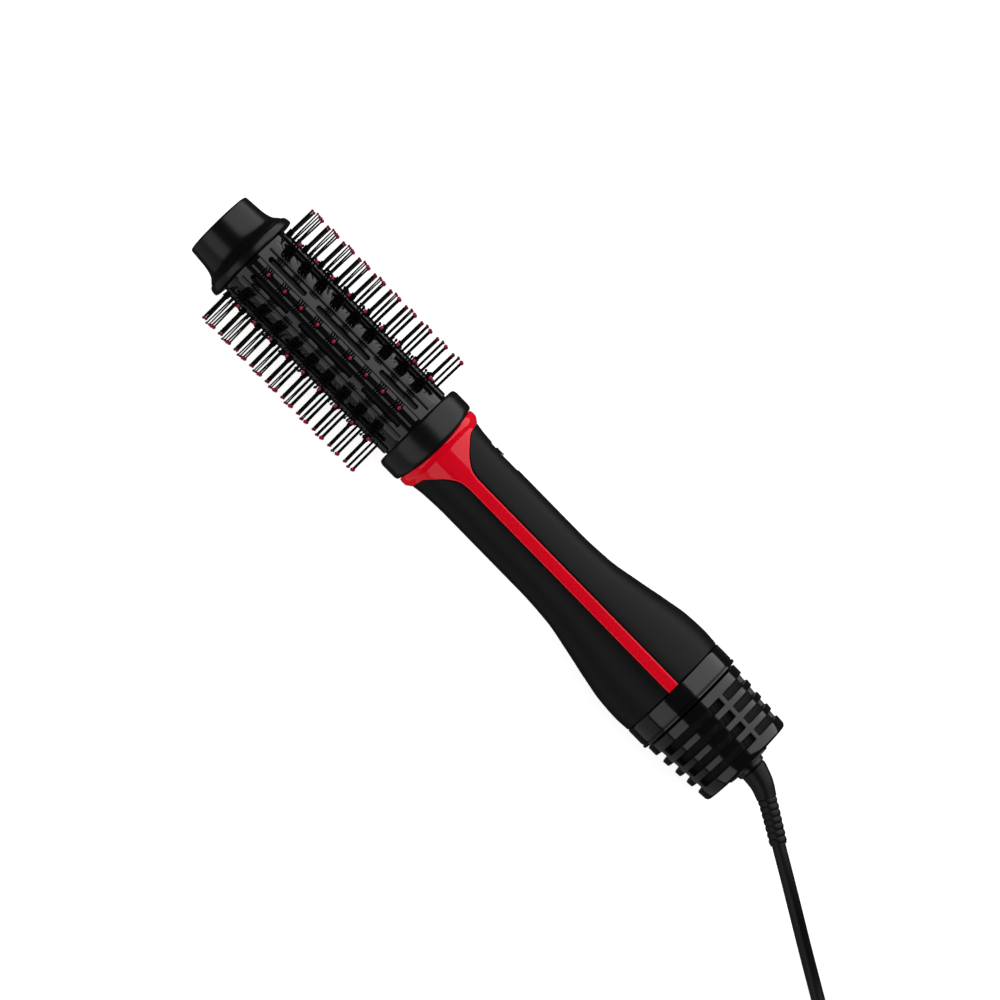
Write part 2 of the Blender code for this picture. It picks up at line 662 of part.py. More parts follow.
def inlet_grille(parent):
    """Rings joined by lengthwise bars, drawn as a grid round the axis with open windows."""
    xs = sorted({x for rib in GRILLE_RIBS for x in rib} | {GRILLE_X[1]})
    bar = math.degrees(GRILLE_BAR_WIDTH / GRILLE_BAR_R)
    columns = []
    for middle, following in zip(GRILLE_BARS, GRILLE_BARS[1:] + (GRILLE_BARS[0] + 360,)):
        columns += [middle - bar / 2] + spread(middle + bar / 2, following - bar / 2, BETWEEN_BARS)[:-1]
    count = len(columns)
    bm = bmesh.new()
    outer, inner = (
        [[bm.verts.new(at(x, straight(line, x), a)) for a in columns] for x in xs]
        for line in (GRILLE_OUTER, GRILLE_INNER)
    )
    solid_rows = {i for i in range(len(xs) - 1) if any(a <= xs[i] and xs[i + 1] <= b for a, b in GRILLE_RIBS)}
    solid_rows.add(len(xs) - 2)

    def solid(i, j):
        return 0 <= i < len(xs) - 1 and (i in solid_rows or j % count % (BETWEEN_BARS + 1) == 0)

    for i in range(len(xs) - 1):
        for j in range(count):
            if not solid(i, j):
                continue
            n = (j + 1) % count
            for skin in (outer, inner):
                bm.faces.new((skin[i][j], skin[i][n], skin[i + 1][n], skin[i + 1][j]))
            for open_side, i0, j0, i1, j1 in (
                (not solid(i - 1, j), i, j, i, n), (not solid(i + 1, j), i + 1, j, i + 1, n),
                (not solid(i, j - 1), i, j, i + 1, j), (not solid(i, j + 1), i, n, i + 1, n),
            ):
                if open_side:
                    bm.faces.new((outer[i0][j0], outer[i1][j1], inner[i1][j1], inner[i0][j0]))
    piece("inlet_grille", finished("inlet_grille", bm), BLACK_GLOSS, parent)
    turned(
        "filter_mesh", [(313, 23.9), (313, 24.4), (344.6, 22.7), (344.6, 22.2)], GREY_PLASTIC, parent, 36
    )


def swivel(parent):
    """The end wall, the stepped cover, and the socket that holds the turning end of the cord."""
    bore = JOURNAL_R + GAP
    turned("end_plate", tube_profile((345.2, 348.5), 22.4, 9.5), BLACK_MATTE, parent, segments=36)
    cover = [(348.8, bore), (348.8, 11.6), (350.3, 11.9), (350.6, 11.6), (350.6, 7.6), (352.9, 7.2),
             (352.9, bore)]
    turned("swivel_cover", cover, BLACK_MATTE, parent, segments=24)
    retainer = [(336, 7.4), (336, 9.2), (348.5, 9.2), (348.5, bore), (344.6, bore), (344.6, 7.4)]
    turned("swivel_retainer", retainer, GREY_PLASTIC, parent, segments=24)
    contact = [(326.0, 7.2), (326.0, 8.6), (335.7, 8.6), (335.7, 7.2)]
    turned("contact_block", contact, GREY_PLASTIC, parent, segments=20)


# Cord set


def swept_mesh(name, centres, radii, sides=12):
    """A bar with a round section of changing radius along centres that lie in one level plane."""
    sections = []
    for k, (p, r) in enumerate(zip(centres, radii)):
        before, after = centres[max(k - 1, 0)], centres[min(k + 1, len(centres) - 1)]
        along = (Vector(after) - Vector(before)).normalized()
        across = Vector((-along.y, along.x, 0))
        up = Vector((0, 0, 1))
        ring = []
        for s in range(sides):
            a = 2 * math.pi * s / sides
            ring.append((Vector(p) + across * r * math.cos(a) + up * r * math.sin(a)) * MM)
        sections.append(ring)
    return lofted_mesh(name, sections)


def strain_relief(parent):
    """Flange and journal inside the swivel, then a smooth stem that goes over into a ribbed sleeve."""
    centres = [(x, 0, 0) for x in (340.9, 344.2, 344.2, 353.1)]
    radii = [6.9, 6.9, JOURNAL_R, JOURNAL_R]
    stem = [SWIVEL_X] + spread(SWIVEL_X + 0.8, STEM_END_X, 4)
    ribs = int((RELIEF_ROUTE[-1][0] - STEM_END_X) / (RELIEF_RIB_PITCH / 2))
    sleeve = spread(STEM_END_X, RELIEF_ROUTE[-1][0], ribs)[1:]
    for x in stem:
        centres.append((x, smooth(RELIEF_ROUTE, x), 0))
        radii.append(STEM_R[0] + (STEM_R[1] - STEM_R[0]) * (x - SWIVEL_X) / (STEM_END_X - SWIVEL_X))
    for k, x in enumerate(sleeve):
        centres.append((x, smooth(RELIEF_ROUTE, x), 0))
        radii.append(RIB_R[k % 2] - RIB_TAPER * k / ribs)
    piece("strain_relief", swept_mesh("strain_relief", centres, radii), BLACK_MATTE, parent)


def contact_rings(parent):
    """The cord set's sleeve of contacts, which turns inside the contact block."""
    rings = [(327.0, 0), (327.0, 6.6), (335.0, 6.6), (340.6, 4.0), (340.6, 0)]
    turned("contact_rings", rings, BRASS, parent, segments=16)


def on_floor(x, y, z=None):
    """A point of the cord's route in world axes; without z it lies on the floor."""
    return Vector((x, y, CORD_R + CORD_LIFT if z is None else z)) * MM


def cord_path(route, steps):
    """Points read from a smooth curve through the route's own points."""
    points = []
    for k in range(len(route) - 1):
        before = route[max(k - 1, 0)]
        a, b = route[k], route[k + 1]
        after = route[min(k + 2, len(route) - 1)]
        for s in range(steps):
            t = s / steps
            points.append(
                0.5 * ((2 * a) + (b - before) * t + (2 * before - 5 * a + 4 * b - after) * t * t
                       + (3 * a - before - 3 * b + after) * t ** 3)
            )
    return points + [route[-1]]


CORD_ROUTE = [
    on_floor(210.2, -15.95, 25.93), on_floor(223, -23.3, 23.8), on_floor(238, -32.0, 18.6),
    on_floor(253, -40.7, 10.8), on_floor(266, -48.1, 5.0), on_floor(276, -53.8), on_floor(286.0, -59.5),
    on_floor(300.3, -67.7),
]
LEAD_ROUTE = [on_floor(381.25, -17.45), on_floor(379.9, -12.6), on_floor(378.65, -7.8)]


def cord_set():
    """The loose cord: down from the sleeve to the floor, into a tied coil, and out of it to the plug."""
    tube_curve("power_cord", cord_path(CORD_ROUTE, 2), CORD_R, BLACK_MATTE, None)
    tube_curve("cord_lead", cord_path(LEAD_ROUTE, 2), CORD_R, BLACK_MATTE, None)
    x, y = COIL_CENTRE
    inner, outer = COIL_TURN_R - COIL_HALF_WIDTH, COIL_TURN_R + COIL_HALF_WIDTH
    low, high = COIL_BOTTOM, COIL_BOTTOM + COIL_HEIGHT
    edge = 2.4
    profile = [
        (low, inner + edge), (low + edge, inner), (high - edge, inner), (high, inner + edge),
        (high, outer - edge), (high - edge, outer), (low + edge, outer), (low, outer - edge),
    ]
    coil = turned("cord_coil", profile, BLACK_MATTE, None, segments=36)
    coil.rotation_euler = (0, -math.pi / 2, 0)
    coil.location = Vector((x, y, 0)) * MM

    clear_low, clear_high = x - outer - 0.4, x - inner + 0.7
    hole_low = (clear_low, y - TIE_WIDTH, low - 0.35)
    hole_high = (clear_high, y + TIE_WIDTH, high + 0.35)
    tie_low = (clear_low - TIE_WALL, y - TIE_WIDTH / 2, 0.05)
    tie_high = (clear_high + TIE_WALL, y + TIE_WIDTH / 2, high + 1.3)
    tie = block("cord_tie", tie_low, tie_high, BLACK_MATTE, None)
    hole = piece("tie_hole", block_mesh("tie_hole", hole_low, hole_high), None, None, cutter=True)
    boolean(tie, hole, "DIFFERENCE")
    plug()


def plug():
    """A flat two-pin plug that lies on its broad side, drawn along its own x and then placed."""
    place = bpy.data.objects.new("plug_place", None)
    bpy.context.scene.collection.objects.link(place)
    end, before = LEAD_ROUTE[-1], LEAD_ROUTE[-2]
    place.location = end
    place.rotation_euler = (0, 0, math.atan2(end.y - before.y, end.x - before.x))
    sections = []
    rise = PLUG_THICKNESS / 2 - end.z / MM + 0.05
    for x, half_width, half_height in PLUG_SECTIONS:
        corner = half_height * 0.55
        outline = [
            (half_width, -half_height + corner), (half_width, half_height - corner),
            (half_width - corner, half_height), (-half_width + corner, half_height),
            (-half_width, half_height - corner), (-half_width, -half_height + corner),
            (-half_width + corner, -half_height), (half_width - corner, -half_height),
        ]
        sections.append([Vector((x, y, z + rise)) * MM for y, z in outline])
    piece("plug_body", lofted_mesh("plug_body", sections), BLACK_MATTE, place)
    start = PLUG_SECTIONS[-1][0] + GAP
    for side, spot in (("left", 1), ("right", -1)):
        pin = turned(f"plug_pin_{side}", pin_profile(start), BRASS, place, segments=12)
        pin.location = Vector((0, spot * PLUG_PIN_SPACING / 2, rise)) * MM


def pin_profile(start):
    end = start + PLUG_PIN_LENGTH
    return [(start, 0), (start, PLUG_PIN_R), (end - 1, PLUG_PIN_R), (end, PLUG_PIN_R / 2), (end, 0)]


def brush():
    axis = lay_down()
    cool_tip(axis)
    tip_fixing(axis)
    barrel(axis)
    air_guide(axis)
    bristle_rows(axis)
    heater(axis)
    neck(axis)
    red_trim(axis)
    shells(axis)
    switch(axis)
    fan(axis)
    tail_ring(axis)
    inlet_grille(axis)
    swivel(axis)
    strain_relief(axis)
    contact_rings(axis)


clear_scene()
brush()
cord_set()
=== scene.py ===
import json
import math

import bmesh
import bpy
from mathutils import Matrix, Vector


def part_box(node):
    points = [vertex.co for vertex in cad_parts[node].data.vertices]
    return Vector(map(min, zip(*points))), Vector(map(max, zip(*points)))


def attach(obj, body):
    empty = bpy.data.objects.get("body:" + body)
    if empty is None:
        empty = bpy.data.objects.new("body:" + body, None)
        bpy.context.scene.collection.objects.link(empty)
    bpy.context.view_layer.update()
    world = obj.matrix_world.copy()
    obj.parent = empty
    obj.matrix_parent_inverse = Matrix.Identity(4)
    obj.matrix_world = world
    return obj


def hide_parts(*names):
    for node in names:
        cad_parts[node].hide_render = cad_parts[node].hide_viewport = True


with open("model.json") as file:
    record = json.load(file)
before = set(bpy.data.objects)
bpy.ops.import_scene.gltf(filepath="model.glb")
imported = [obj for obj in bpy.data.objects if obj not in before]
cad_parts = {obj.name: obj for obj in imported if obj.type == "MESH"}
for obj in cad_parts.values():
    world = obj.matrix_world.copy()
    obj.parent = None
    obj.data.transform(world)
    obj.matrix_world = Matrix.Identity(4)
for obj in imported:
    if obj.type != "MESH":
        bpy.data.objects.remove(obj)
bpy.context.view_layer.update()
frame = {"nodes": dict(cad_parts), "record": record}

# Lengths are in millimetres along the brush's own axis, from the cool tip's end face, as in the design.
# Angles round the axis are in degrees, from the side with the stripe towards the front with the switch.
MM = 0.001
GAP = 0.3
BARREL_X = (23.7, 139.0)
BARREL_R = 18.9
BARREL_WALL = 1.5
ROWS = 10
ROW_STEP = 36.0
FANNED_STATIONS = (9, 35.2, 10.63)
UPRIGHT_STATIONS = (10, 32.3, 10.28)
PIN_FOOT_R = 19.6
# Along the row: where a pin's tip and foot are, its radius, how far out it reaches, and how red its end is.
FANNED_PINS = ((0.0, 0.0, 0.5, 35.0, 1), (-2.0, -1.1, 0.42, 36.3, 0), (-3.8, -2.0, 0.42, 36.3, 0))
UPRIGHT_PINS = ((0.0, -0.2, 0.5, 38.0, 1), (-2.5, -2.6, 0.42, 38.3, 2), (-5.3, -5.6, 0.72, 37.6, 2))
UPRIGHT_ROWS = (2, 3, 7, 8)
STRIP_X = (26.0, 129.8)
STRIP_HALF_WIDTH = 2.8
STRIP_R = (19.2, 20.0)
SLOT_WIDTH = 2.5
SLOT_RUNS = ((29.2, 52.7), (60.5, 94.2), (101.8, 125.7))
COLLAR_X = (130.9, 144.4)
COLLAR_R = 24.0
EDGE_BOW = 1.5
HANDLE_OUTLINE = (
    (149.4, 20.9), (156.0, 20.0), (170.0, 19.4), (219.0, 19.4), (237.0, 20.3), (253.0, 23.05),
    (270.0, 26.5), (281.0, 28.35), (292.0, 28.95), (299.8, 28.5),
)
SHELL_X = (149.9, 299.8)
SHELL_WALL = 3.0
TRIM_DEPTH = 1.6
TRIM_X = (144.7, 299.7)
TRIM_RING_END_X = 149.4
TRIM_PROUD = 0.2
TRIM_FLARE = ((149.4, 90.0), (151.0, 51.0), (154.7, 35.0), (159.3, 20.6), (165.0, 10.9), (170.0, 9.0))
STRIPE_HALF_WIDTH = 3.1
SWITCH_X = (160.7, 178.6)
SWITCH_HALF_WIDTH = 4.2
SWITCH_FLOOR_Y = 18.75
THUMB_X = (163.9, 169.0)
THUMB_TRAVEL = 8.4
GRILLE_X = (312.3, 348.8)
GRILLE_RIBS = ((312.3, 317.4), (321.5, 324.8), (328.9, 332.0), (335.8, 339.1), (343.0, 347.6))
GRILLE_OUTER = ((312.3, 27.5), (317.4, 27.5), (343.0, 25.5), (347.6, 25.2), (348.8, 24.4))
GRILLE_INNER = ((312.3, 24.9), (348.8, 23.0))
GRILLE_BARS = (28, 108, 180, 240, 300)
GRILLE_BAR_WIDTH = 2.4
SWIVEL_X = 353.2
JOURNAL_R = 4.5
RELIEF_ROUTE = ((354.0, 0.0), (360.0, -1.4), (367.2, -4.7), (377.0, -10.2), (386.4, -15.8))
RELIEF_RIB_PITCH = 2.7
STEM_R = (6.6, 4.7)
RIB_R = (4.55, 4.2)
RIB_TAPER = 0.35

# The cord's route is in the frame's own axes, in metres, as in the design.
CORD_R = 3.25
FLOOR_Z = 0.00345
CORD_ROUTE = [
    (0.2102, -0.01595, 0.02593), (0.223, -0.0233, 0.0238), (0.238, -0.0320, 0.0186),
    (0.253, -0.0407, 0.0108), (0.266, -0.0481, 0.0050), (0.276, -0.0538, FLOOR_Z),
    (0.286, -0.0595, FLOOR_Z), (0.3003, -0.0677, FLOOR_Z), (0.3150, -0.0762, FLOOR_Z),
]
LEAD_ROUTE = [(0.38125, -0.01745, FLOOR_Z), (0.3799, -0.0126, FLOOR_Z), (0.37865, -0.0078, FLOOR_Z)]
PLUG_SECTIONS = ((0.3, 5.0, 4.6), (9.0, 9.0, 5.6), (14.0, 17.0, 6.8), (34.0, 17.6, 6.8), (35.5, 16.6, 6.0))
PLUG_THICKNESS = 13.7
PLUG_PIN_LENGTH = 19.0
PLUG_PIN_SPACING = 18.6
PLUG_PIN_R = 2.0
COIL_CENTRE = Vector((0.3471, -0.0535, 0))
COIL_TURN_R = 0.03575
COIL_STEP = 0.00655  # between the middles of two turns that lie side by side
COIL_ENTRY = 240.05  # the angle at which the cord first touches the middle turn; it runs anticlockwise
COIL_EXIT = 15.0
TIE_LIFT = 0.00125  # the strap under the bundle holds it off the floor here

# The view: square to the axis on the side with the stripe, the brush falling to the right.
VIEW_ROLL = 45.6
VIEW_MIDDLE = (182.5, 3.6)
VIEW_DISTANCE = 2.67
VIEW_WIDTH = 0.4622
SENSOR_WIDTH = 36

# Each panel's name, its angle round the axis, distance, width, length and radiance, and if it is reflected.
PANELS = (
    ("softbox_front", 68, 1.4, 3.1, 2.6, 1.25, True),
    ("softbox_rear", -50, 1.4, 1.05, 2.6, 0.75, True),
    ("panel_rear", -102, 1.4, 1.4, 2.6, 0.22, True),
    ("top_fill", 0, 2.2, 1.6, 2.4, 1.2, False),
)

tip = next(m for m in frame["record"]["mounts"] if m["name"] == "tip_face")
ALONG = -Vector(tip["axis"]).normalized()
FRONT = Vector((0, 1, 0))
OUT = ALONG.cross(FRONT)
AXIS = Matrix.Translation(Vector(tip["pos_m"])) @ Matrix((ALONG, FRONT, OUT)).transposed().to_4x4()


# Shape helpers


def at(x, r, degrees):
    a = math.radians(degrees)
    return Vector((x, r * math.sin(a), r * math.cos(a))) * MM


def smooth(points, x):
    """The height at x of a smooth curve through points that neither overshoots nor wiggles."""
    if x <= points[0][0]:
        return points[0][1]
    if x >= points[-1][0]:
        return points[-1][1]
    slopes = [(b[1] - a[1]) / (b[0] - a[0]) for a, b in zip(points, points[1:])]
    i = next(k for k in range(len(slopes)) if x <= points[k + 1][0])

    def tangent(k):
        if k == 0 or k == len(slopes):
            return slopes[min(k, len(slopes) - 1)]
        before, after = slopes[k - 1], slopes[k]
        return 0.0 if before * after <= 0 else 2 * before * after / (before + after)

    (x0, y0), (x1, y1) = points[i], points[i + 1]
    h = x1 - x0
    t = (x - x0) / h
    rise = (1 + 2 * t) * (1 - t) ** 2 * y0 + t * t * (3 - 2 * t) * y1
    return rise + h * (t * (1 - t) ** 2 * tangent(i) - t * t * (1 - t) * tangent(i + 1))


def straight(points, x):
    if x <= points[0][0]:
        return points[0][1]
    for (x0, y0), (x1, y1) in zip(points, points[1:]):
        if x <= x1:
            return y0 + (y1 - y0) * (x - x0) / (x1 - x0)
    return points[-1][1]


def spread(low, high, steps):
    return [low + (high - low) * k / steps for k in range(steps + 1)]


def finished(name, bm, sharp=32.0):
    bmesh.ops.remove_doubles(bm, verts=bm.verts, dist=1e-7)
    bmesh.ops.recalc_face_normals(bm, faces=bm.faces)
    mesh = bpy.data.meshes.new(name)
    bm.to_mesh(mesh)
    bm.free()
    mesh.shade_smooth()
    mesh.set_sharp_from_angle(angle=math.radians(sharp))
    return mesh


def add_piece(name, mesh, looks, body, nodes=(), place=AXIS, bevel=0.0):
    """A visible piece on a body, that stands for those CAD nodes; bevel rounds its sharp edges, in mm."""
    made = bpy.data.objects.new(name, mesh)
    bpy.context.scene.collection.objects.link(made)
    made.matrix_world = place
    for look in looks:
        mesh.materials.append(look)
    if bevel:
        edge = made.modifiers.new("edges", "BEVEL")
        edge.width = bevel * MM
        edge.segments = 2
        edge.limit_method = "ANGLE"
        edge.angle_limit = math.radians(35)
        edge.harden_normals = False
    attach(made, body)
    if nodes:
        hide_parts(*nodes)
    return made


def turned_mesh(name, profile, segments=120, bow=None):
    bm = bmesh.new()
    ring = [bm.verts.new(at(x, r, 0)) for x, r in profile]
    for a, b in zip(ring, ring[1:] + ring[:1]):
        if a.co.z > 0 or b.co.z > 0:
            bm.edges.new((a, b))
    bmesh.ops.spin(
        bm, geom=bm.verts[:] + bm.edges[:], cent=(0, 0, 0), axis=(1, 0, 0),
        angle=2 * math.pi, steps=segments, use_merge=True,
    )
    bmesh.ops.remove_doubles(bm, verts=bm.verts, dist=1e-7)
    if bow:
        for v in bm.verts:
            v.co.x += bow(v.co.x / MM, math.atan2(v.co.y, v.co.z)) * MM
    return finished(name, bm)


def lofted_mesh(name, sections):
    bm = bmesh.new()
    rings = [[bm.verts.new(p) for p in section] for section in sections]
    for a, b in zip(rings, rings[1:]):
        for k in range(len(a)):
            n = (k + 1) % len(a)
            bm.faces.new((a[k], a[n], b[n], b[k]))
    bm.faces.new(rings[0])
    bm.faces.new(rings[-1])
    return finished(name, bm)


def cut(target, tool, operation="DIFFERENCE"):
    """Cuts tool out of target for good, or joins it on, so that the tool can go."""
    change = target.modifiers.new("cut", "BOOLEAN")
    change.operation = operation
    change.object = tool
    change.solver = "EXACT"
    while target.modifiers[0] != change:
        bpy.context.view_layer.objects.active = target
        target.modifiers.move(len(target.modifiers) - 1, 0)
    others = [m for m in target.modifiers if m != change]
    for m in others:
        m.show_viewport = False
    bpy.context.view_layer.update()
    mesh = bpy.data.meshes.new_from_object(target.evaluated_get(bpy.context.evaluated_depsgraph_get()))
    for m in others:
        m.show_viewport = True
    target.modifiers.remove(change)
    target.data = mesh
    mesh.shade_smooth()
    mesh.set_sharp_from_angle(angle=math.radians(32))
    bpy.data.objects.remove(tool, do_unlink=True)


# Materials


def shader(name, colour, roughness, metallic=0.0, coat=0.0, specular=0.5):
    made = bpy.data.materials.new(name)
    made.use_nodes = True
    nodes = made.node_tree.nodes
    surface = nodes["Principled BSDF"]
    surface.inputs["Base Color"].default_value = (*colour, 1)
    surface.inputs["Roughness"].default_value = roughness
    surface.inputs["Metallic"].default_value = metallic
    surface.inputs["Coat Weight"].default_value = coat
    surface.inputs["Coat Roughness"].default_value = 0.06
    surface.inputs["Specular IOR Level"].default_value = specular
    made.diffuse_color = (*colour, 1)
    return made, nodes, made.node_tree.links, surface


def grained(name, colour, roughness, grain, depth, spread_of_roughness=0.06, shade=0.25, **more):
    """Moulded plastic or rubber: a fine grain in the surface, and slow changes of shade and gloss."""
    made, nodes, links, surface = shader(name, colour, roughness, **more)
    where = nodes.new("ShaderNodeTexCoord")
    fine = nodes.new("ShaderNodeTexNoise")
    fine.inputs["Scale"].default_value = grain
    fine.inputs["Detail"].default_value = 3
    slow = nodes.new("ShaderNodeTexNoise")
    slow.inputs["Scale"].default_value = grain / 30
    bump = nodes.new("ShaderNodeBump")
    bump.inputs["Distance"].default_value = depth * MM
    bump.inputs["Strength"].default_value = 0.6
    ramp = nodes.new("ShaderNodeValToRGB")
    ramp.color_ramp.elements[0].color = (*(c * (1 - shade) for c in colour), 1)
    ramp.color_ramp.elements[1].color = (*(min(1, c * (1 + shade)) for c in colour), 1)
    gloss = nodes.new("ShaderNodeMapRange")
    gloss.inputs["To Min"].default_value = roughness - spread_of_roughness
    gloss.inputs["To Max"].default_value = roughness + spread_of_roughness
    for noise in (fine, slow):
        links.new(where.outputs["Object"], noise.inputs["Vector"])
    links.new(fine.outputs["Fac"], bump.inputs["Height"])
    links.new(bump.outputs["Normal"], surface.inputs["Normal"])
    links.new(slow.outputs["Fac"], ramp.inputs["Fac"])
    links.new(ramp.outputs["Color"], surface.inputs["Base Color"])
    links.new(slow.outputs["Fac"], gloss.inputs["Value"])
    links.new(gloss.outputs["Result"], surface.inputs["Roughness"])
    return made


def woven(name, colour, roughness, pitch):
    """Fine wire mesh: two sets of bands along and round the axis, with painted shade in the holes between
    them.
    """
    made, nodes, links, surface = shader(name, colour, roughness, metallic=0.6)
    where = nodes.new("ShaderNodeTexCoord")
    bands = []
    for direction in ("X", "Y", "Z"):
        wave = nodes.new("ShaderNodeTexWave")
        wave.bands_direction = direction
        wave.inputs["Scale"].default_value = 2 * math.pi / (20 * pitch * MM)
        links.new(where.outputs["Object"], wave.inputs["Vector"])
        bands.append(wave)
    top = None
    for wave in bands:
        if top is None:
            top = wave.outputs["Fac"]
            continue
        join = nodes.new("ShaderNodeMath")
        join.operation = "MAXIMUM"
        links.new(top, join.inputs[0])
        links.new(wave.outputs["Fac"], join.inputs[1])
        top = join.outputs["Value"]
    ramp = nodes.new("ShaderNodeValToRGB")
    # The holes are painted near-black: painted shade for the dark inside seen through them.
    ramp.color_ramp.elements[0].position = 0.72
    ramp.color_ramp.elements[0].color = (0.0015, 0.0015, 0.0015, 1)
    ramp.color_ramp.elements[1].position = 0.95
    ramp.color_ramp.elements[1].color = (*colour, 1)
    bump = nodes.new("ShaderNodeBump")
    bump.inputs["Distance"].default_value = 0.2 * MM
    links.new(top, ramp.inputs["Fac"])
    links.new(ramp.outputs["Color"], surface.inputs["Base Color"])
    links.new(top, bump.inputs["Height"])
    links.new(bump.outputs["Normal"], surface.inputs["Normal"])
    return made


SATIN_BLACK = grained("satin_black", (0.003, 0.003, 0.0034), 0.27, 2600, 0.014, specular=0.45)
SOFT_BLACK = grained("soft_touch_black", (0.003, 0.003, 0.0034), 0.42, 3200, 0.02, specular=0.2)
GLOSS_BLACK = grained("gloss_black", (0.003, 0.003, 0.0035), 0.11, 900, 0.003, 0.03, coat=0.3)
RED = grained("gloss_red", (0.84, 0.0007, 0.015), 0.09, 900, 0.002, 0.02, 0.06, coat=0.15, specular=0.35)
NYLON = grained("pin_black", (0.002, 0.002, 0.002), 0.45, 1500, 0.01, specular=0.15)
BALL_RED = grained("ball_red", (0.30, 0.006, 0.03), 0.2, 1500, 0.006, 0.04, 0.2)
BALL_DARK = grained("ball_dark_red", (0.16, 0.004, 0.016), 0.3, 1500, 0.006, 0.04, 0.2)
RUBBER = grained("cord_rubber", (0.004, 0.004, 0.0045), 0.4, 1800, 0.02, specular=0.3)
MESH = woven("filter_wire", (0.008, 0.008, 0.009), 0.5, 0.6)
BRASS = grained("plated_brass", (0.75, 0.58, 0.3), 0.25, 1200, 0.004, metallic=1.0)
STEEL = grained("plain_steel", (0.5, 0.5, 0.52), 0.32, 1200, 0.004, metallic=1.0)
MICA_SHEET = grained("mica_sheet", (0.03, 0.026, 0.02), 0.6, 700, 0.03)
INNER = grained("inner_plastic", (0.004, 0.004, 0.0045), 0.6, 1500, 0.02)
BOARD = grained("board_green", (0.02, 0.12, 0.05), 0.45, 900, 0.02)


# Camera, light and floor


def camera():
    roll = math.radians(VIEW_ROLL)
    right = ALONG * math.cos(roll) + FRONT * math.sin(roll)
    up = -ALONG * math.sin(roll) + FRONT * math.cos(roll)
    target = AXIS @ (Vector((*VIEW_MIDDLE, 0)) * MM)
    data = bpy.data.cameras.new("camera")
    data.sensor_width = SENSOR_WIDTH
    data.lens = SENSOR_WIDTH * VIEW_DISTANCE / VIEW_WIDTH
    data.clip_end = 50
    made = bpy.data.objects.new("camera", data)
    bpy.context.scene.collection.objects.link(made)
    made.matrix_world = (
        Matrix.Translation(target + OUT * VIEW_DISTANCE) @ Matrix((right, up, OUT)).transposed().to_4x4()
    )
    bpy.context.scene.camera = made


def softbox(name, degrees, distance, width, length, radiance, glossy, along=0.18):
    """A panel beside the brush, turned towards it, at that angle round the axis from the camera's side."""
    data = bpy.data.lights.new(name, "AREA")
    data.shape = "RECTANGLE"
    data.size = length
    data.size_y = width
    data.energy = radiance * math.pi * width * length
    made = bpy.data.objects.new(name, data)
    bpy.context.scene.collection.objects.link(made)
    direction = (AXIS.to_3x3() @ at(0, 1, degrees)).normalized()
    middle = AXIS @ Vector((along, 0, 0))
    side = ALONG.cross(direction)
    turn = Matrix((ALONG, -side, direction)).transposed().to_4x4()
    if turn.determinant() < 0:
        turn = Matrix((ALONG, side, direction)).transposed().to_4x4()
    made.matrix_world = Matrix.Translation(middle + direction * distance) @ turn
    made.visible_glossy = glossy
    return made


def surroundings():
    bm = bmesh.new()
    bmesh.ops.create_grid(bm, x_segments=1, y_segments=1, size=6)
    floor = bpy.data.objects.new("floor", finished("floor", bm))
    floor.location = (0, 0, -0.0005)
    bpy.context.scene.collection.objects.link(floor)
    made, nodes, links, surface = shader("floor_white", (0.9, 0.9, 0.9), 0.9, specular=0.0)
    surface.inputs["Emission Color"].default_value = (1, 1, 1, 1)
    surface.inputs["Emission Strength"].default_value = 0.7
    floor.data.materials.append(made)
    floor.visible_glossy = False

    for name, degrees, distance, width, length, radiance, glossy in PANELS:
        softbox(name, degrees, distance, width, length, radiance, glossy)

    world = bpy.data.worlds.new("studio")
    bpy.context.scene.world = world
    world.use_nodes = True
    nodes, links = world.node_tree.nodes, world.node_tree.links
    background = nodes["Background"]
    path = nodes.new("ShaderNodeLightPath")
    mix = nodes.new("ShaderNodeMixRGB")
    mix.inputs["Color1"].default_value = (0.025, 0.025, 0.025, 1)
    mix.inputs["Color2"].default_value = (0.95, 0.95, 0.95, 1)
    links.new(path.outputs["Is Camera Ray"], mix.inputs["Fac"])
    links.new(mix.outputs["Color"], background.inputs["Color"])
    view = bpy.context.scene.view_settings
    view.view_transform = "Standard"


# Cord set


def curve_points(route, steps):
    """Points read from a smooth curve through the route's own points."""
    route = [Vector(p) for p in route]
    points = []
    for k in range(len(route) - 1):
        before = route[max(k - 1, 0)]
        a, b = route[k], route[k + 1]
        after = route[min(k + 2, len(route) - 1)]
        for s in range(steps):
            t = s / steps
            points.append(
                0.5 * ((2 * a) + (b - before) * t + (2 * before - 5 * a + 4 * b - after) * t * t
                       + (3 * a - before - 3 * b + after) * t ** 3)
            )
    return points + [route[-1]]


def coil_points():
    """Turns at (column, layer) places in the bundle, each eased into the next at the end of the turn."""
    places = [(0, 0), (-1, 0), (-1, 1), (0, 1), (-1, 2), (0, 2), (1, 1), (1, 0)]
    whole = COIL_EXIT + 360 - COIL_ENTRY + 360 * (len(places) - 1)
    steps = int(whole / 12)
    points = []
    for k in range(steps + 1):
        travelled = whole * k / steps
        turn = min(int(travelled / 360), len(places) - 1)
        eased = min(1.0, max(0.0, (travelled - 360 * turn - 270) / 90))
        eased = eased * eased * (3 - 2 * eased)
        old, new = places[turn], places[min(turn + 1, len(places) - 1)]
        column = old[0] + (new[0] - old[0]) * eased
        layer = old[1] + (new[1] - old[1]) * eased
        a = math.radians(COIL_ENTRY + travelled)
        r = COIL_TURN_R + COIL_STEP * column
        beside_tie = abs(math.degrees(a) % 360 - 180)
        lift = TIE_LIFT * smooth([(18.0, 1.0), (75.0, 0.0)], beside_tie)
        height = FLOOR_Z + lift + COIL_STEP * layer * 0.99
        points.append(COIL_CENTRE + Vector((r * math.cos(a), r * math.sin(a), height)))
    return points


